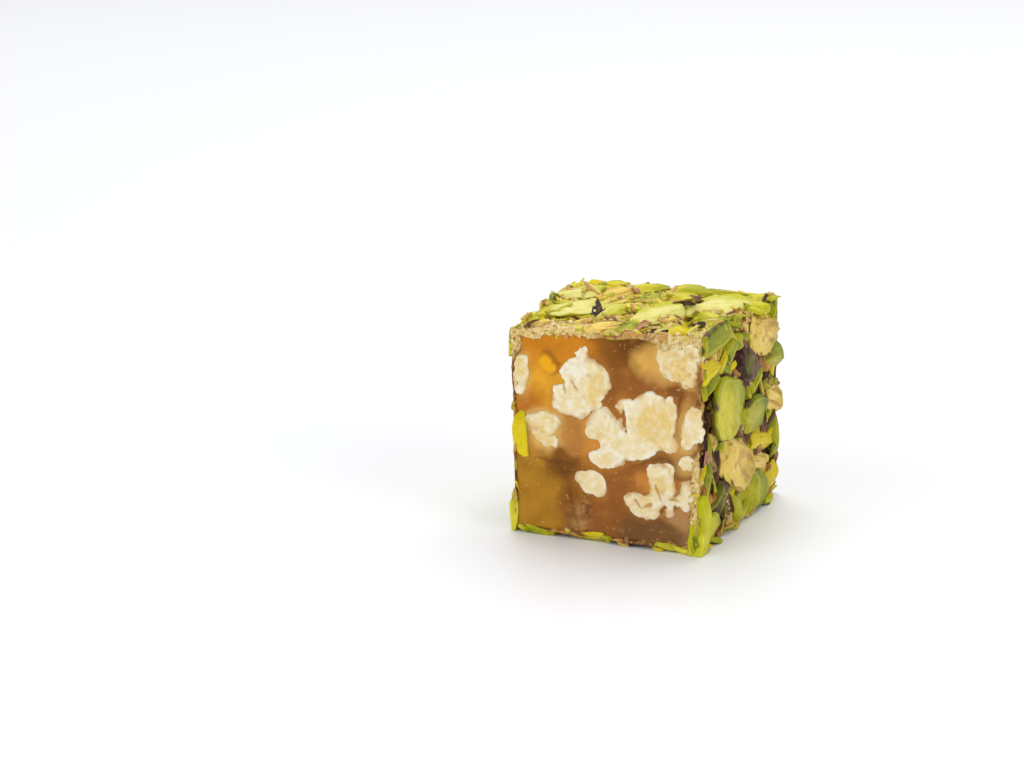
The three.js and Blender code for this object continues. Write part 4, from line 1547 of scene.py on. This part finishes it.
def jelly_colour(points):
    """The jelly's colour at each point, and its share painted darker as shade along folds and threads; the
    back cut shows the zones the other way round.
    """
    front = points[:, 1] < 0
    x, z = points[:, 0] * np.where(front, 1, -1), points[:, 2]
    wander_x, wander_z = (WANDER * noise(points, 2.4, seed, 3) for seed in (61, 62))
    far_x, far_z = x + wander_x, z + wander_z
    colour = with_nuts(zone_colour(far_x, far_z), points, x, wander_x, wander_z)
    bubble_x, bubble_z = x + SOFT * wander_x, z + SOFT * wander_z
    # The bubble is painted: shade on its right and upper rim, a bright highlight inside.
    bubble_rim = np.clip(2.5 * inside(BUBBLE, bubble_x - 0.3, bubble_z - 0.1) + 1, 0, 1)
    bubble_core = np.clip(2.5 * inside(BUBBLE, bubble_x + 0.1, bubble_z + 0.1), 0, 1)
    colour = blend(colour, 0.6 * bubble_rim * front, "bubble_rim")
    colour = blend(colour, bubble_core * front, "bubble")
    streaked = np.clip(inside(STREAKED, far_x, far_z) + 0.4, 0, 1) * front
    dark = streaked * threads(points * (0.5, 1, 1.2), 2.6, 0.2, 65)
    folded = seams(FOLDS, x + FAINT * wander_x, z + FAINT * wander_z, FOLD_WIDTH) * front
    # dark is painted shade along the folds and threads, where the surface also dips
    dark = np.maximum(0.7 * dark, folded)
    rough = np.clip(inside([ROUGH_PATCH], far_x, far_z), 0, 1) * front
    colour = blend(colour, 0.35 * rough * np.clip(2 * noise(points, 0.5, 66, 2), 0, 1), "crumbled")
    dark = np.maximum(dark, rough * threads(points, 1.4, 0.15, 67))
    return blend(colour, 0.6 * dark, "thread"), dark


sample, _ = jelly_colour(np.array([[0.0, -MIDDLE, MIDDLE]]))
print("linear colour at the middle of the front cut:", sample[0].round(3))

# %% Jelly finish
JELLY_TINTS = palette(deep=(100, 56, 10), light=(224, 160, 50), speck=(224, 182, 116))


def jelly_finish():
    finish = Finish("jelly")
    own = finish.attribute("own", "Color")
    cloud = finish.speckle(2.6, 4)
    fine = finish.speckle(0.5, 3)
    deeper = finish.mix(0.2, own, JELLY_TINTS["deep"])
    colour = finish.mix(finish.step(cloud, 0.3, 0.6), deeper, own)
    colour = finish.mix(finish.times(finish.step(cloud, 0.55, 0.75), 0.2), colour, JELLY_TINTS["light"])
    colour = finish.mix(finish.times(finish.step(fine, 0.64, 0.74), 0.5), colour, JELLY_TINTS["speck"])
    finish.set(Base_Color=colour, Roughness=0.3, Specular_IOR_Level=0.12)
    finish.set(Subsurface_Weight=0.3, Subsurface_Scale=0.0015, Subsurface_Radius=(1.0, 0.55, 0.15))
    finish.set(Normal=finish.bump(finish.speckle(0.9, 5), 0.16))
    return finish.material


jelly_skin = jelly_finish()
print("jelly nodes:", len(jelly_skin.node_tree.nodes))

# %% Jelly block
JELLY_STEP = 0.2
JELLY_REACH = HALF_JELLY + 0.6
DEPTH_STEPS = 14
KNIFE_WAVE = ((0.16, 6.0, 71, 2), (0.05, 1.3, 72, 3))
FOLD_DEPTH = 0.1
PATCH_RELIEF = ((0.3, 0.8, 74, 2),)
SIDE_RELIEF = ((0.006, 3.0, 73, 2),)
POCKET = 0.5  # how much lower the jelly lies under a walnut piece


def grid_block(half_width, half_depth, across, along):
    """A closed block about the cube's middle, fine on its two cut ends and coarser along."""
    made = bmesh.new()
    ends = np.linspace(-half_width, half_width, across + 1)
    depths = np.linspace(-half_depth, half_depth, along + 1)

    def sheet(rows, columns, place):
        grid = [[made.verts.new(np.array(place(r, c)) * MM) for c in columns] for r in rows]
        for r in range(len(rows) - 1):
            for c in range(len(columns) - 1):
                made.faces.new((grid[r][c], grid[r][c + 1], grid[r + 1][c + 1], grid[r + 1][c]))

    for side in (-half_depth, half_depth):
        sheet(ends, ends, lambda z, x: (x, side, z + MIDDLE))
    for side in (-half_width, half_width):
        sheet(depths, ends, lambda y, z: (side, y, z + MIDDLE))
        sheet(depths, ends, lambda y, x: (x, y, side + MIDDLE))
    bmesh.ops.remove_doubles(made, verts=made.verts, dist=0.001 * MM)
    bmesh.ops.recalc_face_normals(made, faces=made.faces)
    mesh = bpy.data.meshes.new("block")
    made.to_mesh(mesh)
    made.free()
    return mesh


def sink_under_walnut(points, wave):
    """Lowers the wave where a walnut piece lies in the cut."""
    for seed, ((cut, name), lobes) in enumerate(recipes.items()):
        notches, (_, crumbly) = notches_and_look(cut, name)
        field = cut_through(lobes, notches, points[:, 0], points[:, 2], seed, crumbly)
        same_cut = (points[:, 1] < 0) == (cut == "front")
        wave -= POCKET * np.clip(field / EDGE_ROLL - 1, 0, 1) * same_cut


jelly_mesh = grid_block(JELLY_REACH, MIDDLE - KNIFE_SINK, int(2 * JELLY_REACH / JELLY_STEP), DEPTH_STEPS)
jelly_points = points_of(jelly_mesh)
own, dark = jelly_colour(jelly_points)
wave = layers(jelly_points, KNIFE_WAVE) - FOLD_DEPTH * dark
sink_under_walnut(jelly_points, wave)
wave += within([ROUGH_PATCH], jelly_points) * layers(jelly_points, PATCH_RELIEF)
on_cut = np.abs(jelly_points[:, 1]) > MIDDLE - KNIFE_SINK - HAIR
jelly_points[:, 1] += np.sign(jelly_points[:, 1]) * np.where(on_cut, wave, 0)
uneven = 1 + layers(jelly_points, SIDE_RELIEF)
jelly_points[:, 0] *= uneven
jelly_points[:, 2] = MIDDLE + (jelly_points[:, 2] - MIDDLE) * uneven
place_points(jelly_mesh, soften(jelly_points))
store(jelly_mesh, "own", np.c_[own, np.ones(len(own))])
jelly = show("jelly_block", jelly_mesh, jelly_skin)
stand_for(jelly, "jelly")
print("jelly faces:", len(jelly_mesh.polygons))

# %% [markdown]
# ## Crumbs
# Cutting and pressing leave crumbs everywhere: a crust of them on the rims of both cuts, more in the gaps
# between the pieces, and flat chopped bits on and between the pieces of the top. They are scattered over
# faces by a second tree, with chance for place, turn, size and look. A value kept on the carrier's points
# says how thick they lie. The finest crumbs number thousands, so each of them has only twenty faces.

# %% Crumb finish and shapes
CRUMB_SHAPES = 4
CRUMB_LUMPS = 0.5
CRUMB_SHADE = srgb(150, 104, 50)
# Colours of crumbs and of bits, and the share at which each colour starts
CRUMB_COLOURS = {
    0.0: (226, 192, 114),
    0.35: (240, 222, 164),
    0.65: (208, 162, 90),
    0.75: (176, 176, 50),
    0.85: (228, 206, 62),
    0.95: (164, 116, 74),
}
BIT_COLOURS = {
    0.0: (236, 214, 76),
    0.25: (206, 204, 66),
    0.5: (236, 206, 124),
    0.7: (182, 182, 56),
    0.85: (220, 174, 100),
}


def crumb_finish(name, colours):
    finish = Finish(name)
    ramp = finish.add("ShaderNodeValToRGB", {"Fac": finish.attribute("kind")})
    ramp.color_ramp.interpolation = "CONSTANT"
    stops = ramp.color_ramp.elements
    stops.remove(stops[1])
    for number, (share, colour) in enumerate(colours.items()):
        stop = stops[0] if number == 0 else stops.new(share)
        stop.color = srgb(*colour)
    own = ramp.outputs[0]
    grain = finish.speckle(0.3, 4)
    colour = finish.mix(finish.step(grain, 0.35, 0.7), finish.mix(0.35, own, CRUMB_SHADE), own)
    finish.set(Base_Color=colour, Roughness=0.5, Specular_IOR_Level=0.3)
    finish.set(Subsurface_Weight=0.2, Subsurface_Scale=0.0006, Subsurface_Radius=(1.0, 0.8, 0.3))
    finish.set(Normal=finish.bump(grain, 0.15))
    return finish.material


def crumb_collection(name, level):
    """A few lumpy crumbs, each a sphere divided as often as the level says."""
    made = bpy.data.collections.new(name)
    for number in range(CRUMB_SHAPES):
        mesh = sphere(level)
        points = points_of(mesh) * MM
        points *= (1 + CRUMB_LUMPS * noise(points, 0.8, number + 11, 2))[:, None]
        place_points(mesh, points / MM)
        made.objects.link(bpy.data.objects.new(f"{name}_{number}", mesh))
    return made


crumb_skin = crumb_finish("crumbs", CRUMB_COLOURS)
bit_skin = crumb_finish("bits", BIT_COLOURS)
crumb_shapes = crumb_collection("crumb", 2)
dust_shapes = crumb_collection("dust", 1)

# %% A tree that scatters crumbs


def scatter_tree():
    tree = new_tree(
        "Scatter crumbs",
        {
            "Carrier": "NodeSocketGeometry",
            "Crumbs": "NodeSocketCollection",
            "Finish": "NodeSocketMaterial",
            "Density": "NodeSocketFloat",
            "Smallest": "NodeSocketFloat",
            "Largest": "NodeSocketFloat",
            "Most turn": "NodeSocketVector",
            "Least stretch": "NodeSocketVector",
            "Most stretch": "NodeSocketVector",
            "Seed": "NodeSocketInt",
        },
    )
    given = tree.nodes.new("NodeGroupInput").outputs

    def chance(kind, low, high, seed):
        first, output = {"FLOAT_VECTOR": (0, 0), "FLOAT": (2, 1), "INT": (4, 2)}[kind]
        made = add_to(
            tree, "FunctionNodeRandomValue", {first: low, first + 1: high, "Seed": seed}, data_type=kind
        )
        return made.outputs[output]

    thick = named(tree, "crumb", "FLOAT")
    density = add_to(tree, "ShaderNodeMath", {0: thick, 1: given["Density"]}, operation="MULTIPLY")
    spread = add_to(
        tree,
        "GeometryNodeDistributePointsOnFaces",
        {"Mesh": given["Carrier"], "Density": density.outputs[0], "Seed": given["Seed"]},
    )
    most_turn = chance("FLOAT_VECTOR", (0, 0, 0), given["Most turn"], 1)
    turn = add_to(tree, "FunctionNodeEulerToRotation", {"Euler": most_turn})
    turn = add_to(
        tree,
        "FunctionNodeRotateRotation",
        {"Rotation": spread.outputs["Rotation"], "Rotate By": turn.outputs["Rotation"]},
        rotation_space="LOCAL",
    )
    size = chance("FLOAT", given["Smallest"], given["Largest"], 2)
    stretch = chance("FLOAT_VECTOR", given["Least stretch"], given["Most stretch"], 3)
    scale = add_to(tree, "ShaderNodeVectorMath", {"Vector": stretch, "Scale": size}, operation="SCALE")
    flow = add_to(
        tree,
        "GeometryNodeInstanceOnPoints",
        {
            "Points": spread.outputs["Points"],
            "Instance": shapes_in(tree, given["Crumbs"]),
            "Pick Instance": True,
            "Instance Index": chance("INT", 0, CRUMB_SHAPES - 1, 4),
            "Rotation": turn.outputs["Rotation"],
            "Scale": scale.outputs["Vector"],
        },
    ).outputs["Instances"]
    kept = add_to(
        tree,
        "GeometryNodeStoreNamedAttribute",
        {"Geometry": flow, "Name": "kind", "Value": chance("FLOAT", 0.0, 1.0, 5)},
        data_type="FLOAT",
        domain="INSTANCE",
    )
    close_tree(tree, kept.outputs["Geometry"], given["Finish"])
    return tree


crumb_tree = scatter_tree()
print("tree nodes:", len(crumb_tree.nodes))

# %% Crumbs on the rims, in the gaps and on top
PER_SQUARE_MM = 1e6
FULL_TURN = 2 * np.pi
# How crumbs and bits lie, and how they are stretched
ROUND = {"Most turn": (FULL_TURN,) * 3, "Least stretch": (0.6, 0.6, 0.6), "Most stretch": (1.4, 1.2, 1.0)}
FLAT = {"Most turn": (0.4, 0.4, FULL_TURN), "Least stretch": (1.1, 0.4, 0.3), "Most stretch": (2.2, 0.8, 0.5)}
# For each kind: its shapes, how many lie on a square millimetre, least and most radius, and a seed
KINDS_OF_CRUMB = {
    "rim_crumbs": (dust_shapes, 6.0, 0.05, 0.2, 5),
    "rim_lumps": (crumb_shapes, 0.7, 0.25, 0.6, 7),
    "gap_crumbs": (crumb_shapes, 1.2, 0.08, 0.4, 6),
    "bits_top": (shapes["bit"], 0.45, 0.25, 0.75, 9),
    "bits_gap": (shapes["bit"], 0.5, 0.3, 0.8, 10),
}


def scatter(name, mesh, thick, skin, form):
    """Crumbs over a copy of a mesh, as thick as the values for its points say."""
    crumbs, density, smallest, largest, seed = KINDS_OF_CRUMB[name]
    carrier = bpy.data.objects.new(f"carrier_{name}", mesh.copy())
    store(carrier.data, "crumb", thick)
    values = {
        "Crumbs": crumbs,
        "Finish": skin,
        "Density": density * PER_SQUARE_MM,
        "Smallest": smallest * MM,
        "Largest": largest * MM,
        "Seed": seed,
        **form,
    }
    piece = show(name, grown(carrier, crumb_tree, values), skin)
    stand_for(piece, "pistachio_coat")
    print(name, len(piece.data.polygons), "faces")


clumped = np.clip(0.5 + 1.5 * noise(bed_points, 3.0, 81, 2), 0, 1)
at_foot = np.clip(-from_middle[:, 2] - HALF_JELLY + 1, 0, 1)
rim_thickness = on_rim * np.maximum(0.05 + 0.4 * at_foot * clumped, high * (0.3 + 0.7 * clumped))
scatter("rim_crumbs", bed, rim_thickness, crumb_skin, ROUND)
scatter("rim_lumps", bed, rim_thickness, crumb_skin, ROUND)
in_side_gaps = (lift > 0) * np.clip(2 * clumped - 1, 0, 1)
gap_thickness = ~on_rim * np.where(at_top, 0.3 + 0.8 * near_cut, in_side_gaps)
scatter("gap_crumbs", bed, gap_thickness, crumb_skin, ROUND)
kernels = bpy.data.objects["pistachio_top"].data
facing_up = np.clip(normals_of(kernels)[:, 2], 0, 1)
in_patches = np.clip(0.1 + 1.6 * noise(points_of(kernels), 5.0, 83, 2), 0, 1)
scatter("bits_top", kernels, facing_up * in_patches, bit_skin, FLAT)
scatter("bits_gap", bed, ~on_rim * at_top * np.clip(1 - near_cut, 0.2, 1), bit_skin, FLAT)

# %% [markdown]
# ## The floor, the light and the camera
# The sweet stands on a white table under large soft lights, so its shadows are faint. The camera has a
# long lens and stands in front, a little to the right and above.

# %% Floor, lights and camera
CAMERA_PLACE = (136.69, -370.22, 117.16)
CAMERA_TURN, CAMERA_RISE = np.radians(22.991), np.radians(13.972)
LENS = 100
SENSOR = 36
SEEN_FROM_TO = (0.01, 20)
FLOOR_SIZE = 6.0
FLOOR_CORNERS = ((-1, -1), (1, -1), (1, 1), (-1, 1))
TABLE_WHITE = srgb(243, 244, 247)
# Soft round lights: place and width in metres, power in watts
LIGHTS = {
    "key": ((-0.1, 0.55, 1.0), 1.2, 11),
    "fill": ((-0.5, -0.9, 0.5), 1.4, 6),
    "side": ((0.9, -0.3, 0.5), 0.7, 3),
}
WHITE = (1, 1, 1, 1)
SKY_STRENGTH = 0.4


def floor_finish():
    finish = Finish("white table")
    finish.set(Base_Color=TABLE_WHITE, Roughness=0.35, Specular_IOR_Level=0.3)
    return finish.material


def add_camera():
    lens = bpy.data.cameras.new("camera")
    lens.lens = LENS
    lens.sensor_width = SENSOR
    lens.clip_start, lens.clip_end = SEEN_FROM_TO
    camera = bpy.data.objects.new("camera", lens)
    turn, rise = CAMERA_TURN, CAMERA_RISE
    back = Vector((np.sin(turn) * np.cos(rise), -np.cos(turn) * np.cos(rise), np.sin(rise)))
    right = Vector((np.cos(turn), np.sin(turn), 0))
    camera.matrix_world = Matrix((right, back.cross(right), back)).transposed().to_4x4()
    camera.location = Vector(CAMERA_PLACE) * MM
    bpy.context.scene.collection.objects.link(camera)
    bpy.context.scene.camera = camera


def add_light(name, place, size, power):
    lamp = bpy.data.lights.new(name, "AREA")
    lamp.shape = "DISK"
    lamp.size = size
    lamp.energy = power
    light = bpy.data.objects.new(name, lamp)
    light.location = place
    aim = Vector((0, 0, MIDDLE * MM)) - Vector(place)
    light.rotation_euler = aim.to_track_quat("-Z", "Y").to_euler()
    bpy.context.scene.collection.objects.link(light)


def add_sky():
    world = bpy.data.worlds.new("studio")
    world.use_nodes = True
    background = world.node_tree.nodes["Background"].inputs
    background["Color"].default_value = WHITE
    background["Strength"].default_value = SKY_STRENGTH
    bpy.context.scene.world = world


floor_mesh = bpy.data.meshes.new("floor")
floor_mesh.from_pydata([(x * FLOOR_SIZE, y * FLOOR_SIZE, 0) for x, y in FLOOR_CORNERS], [], [(0, 1, 2, 3)])
floor = show("floor", floor_mesh, floor_finish())
add_camera()
for name, (place, size, power) in LIGHTS.items():
    add_light(name, place, size, power)
add_sky()
bpy.context.scene.view_settings.view_transform = "Standard"
print("camera at", [round(c) for c in CAMERA_PLACE], "mm")
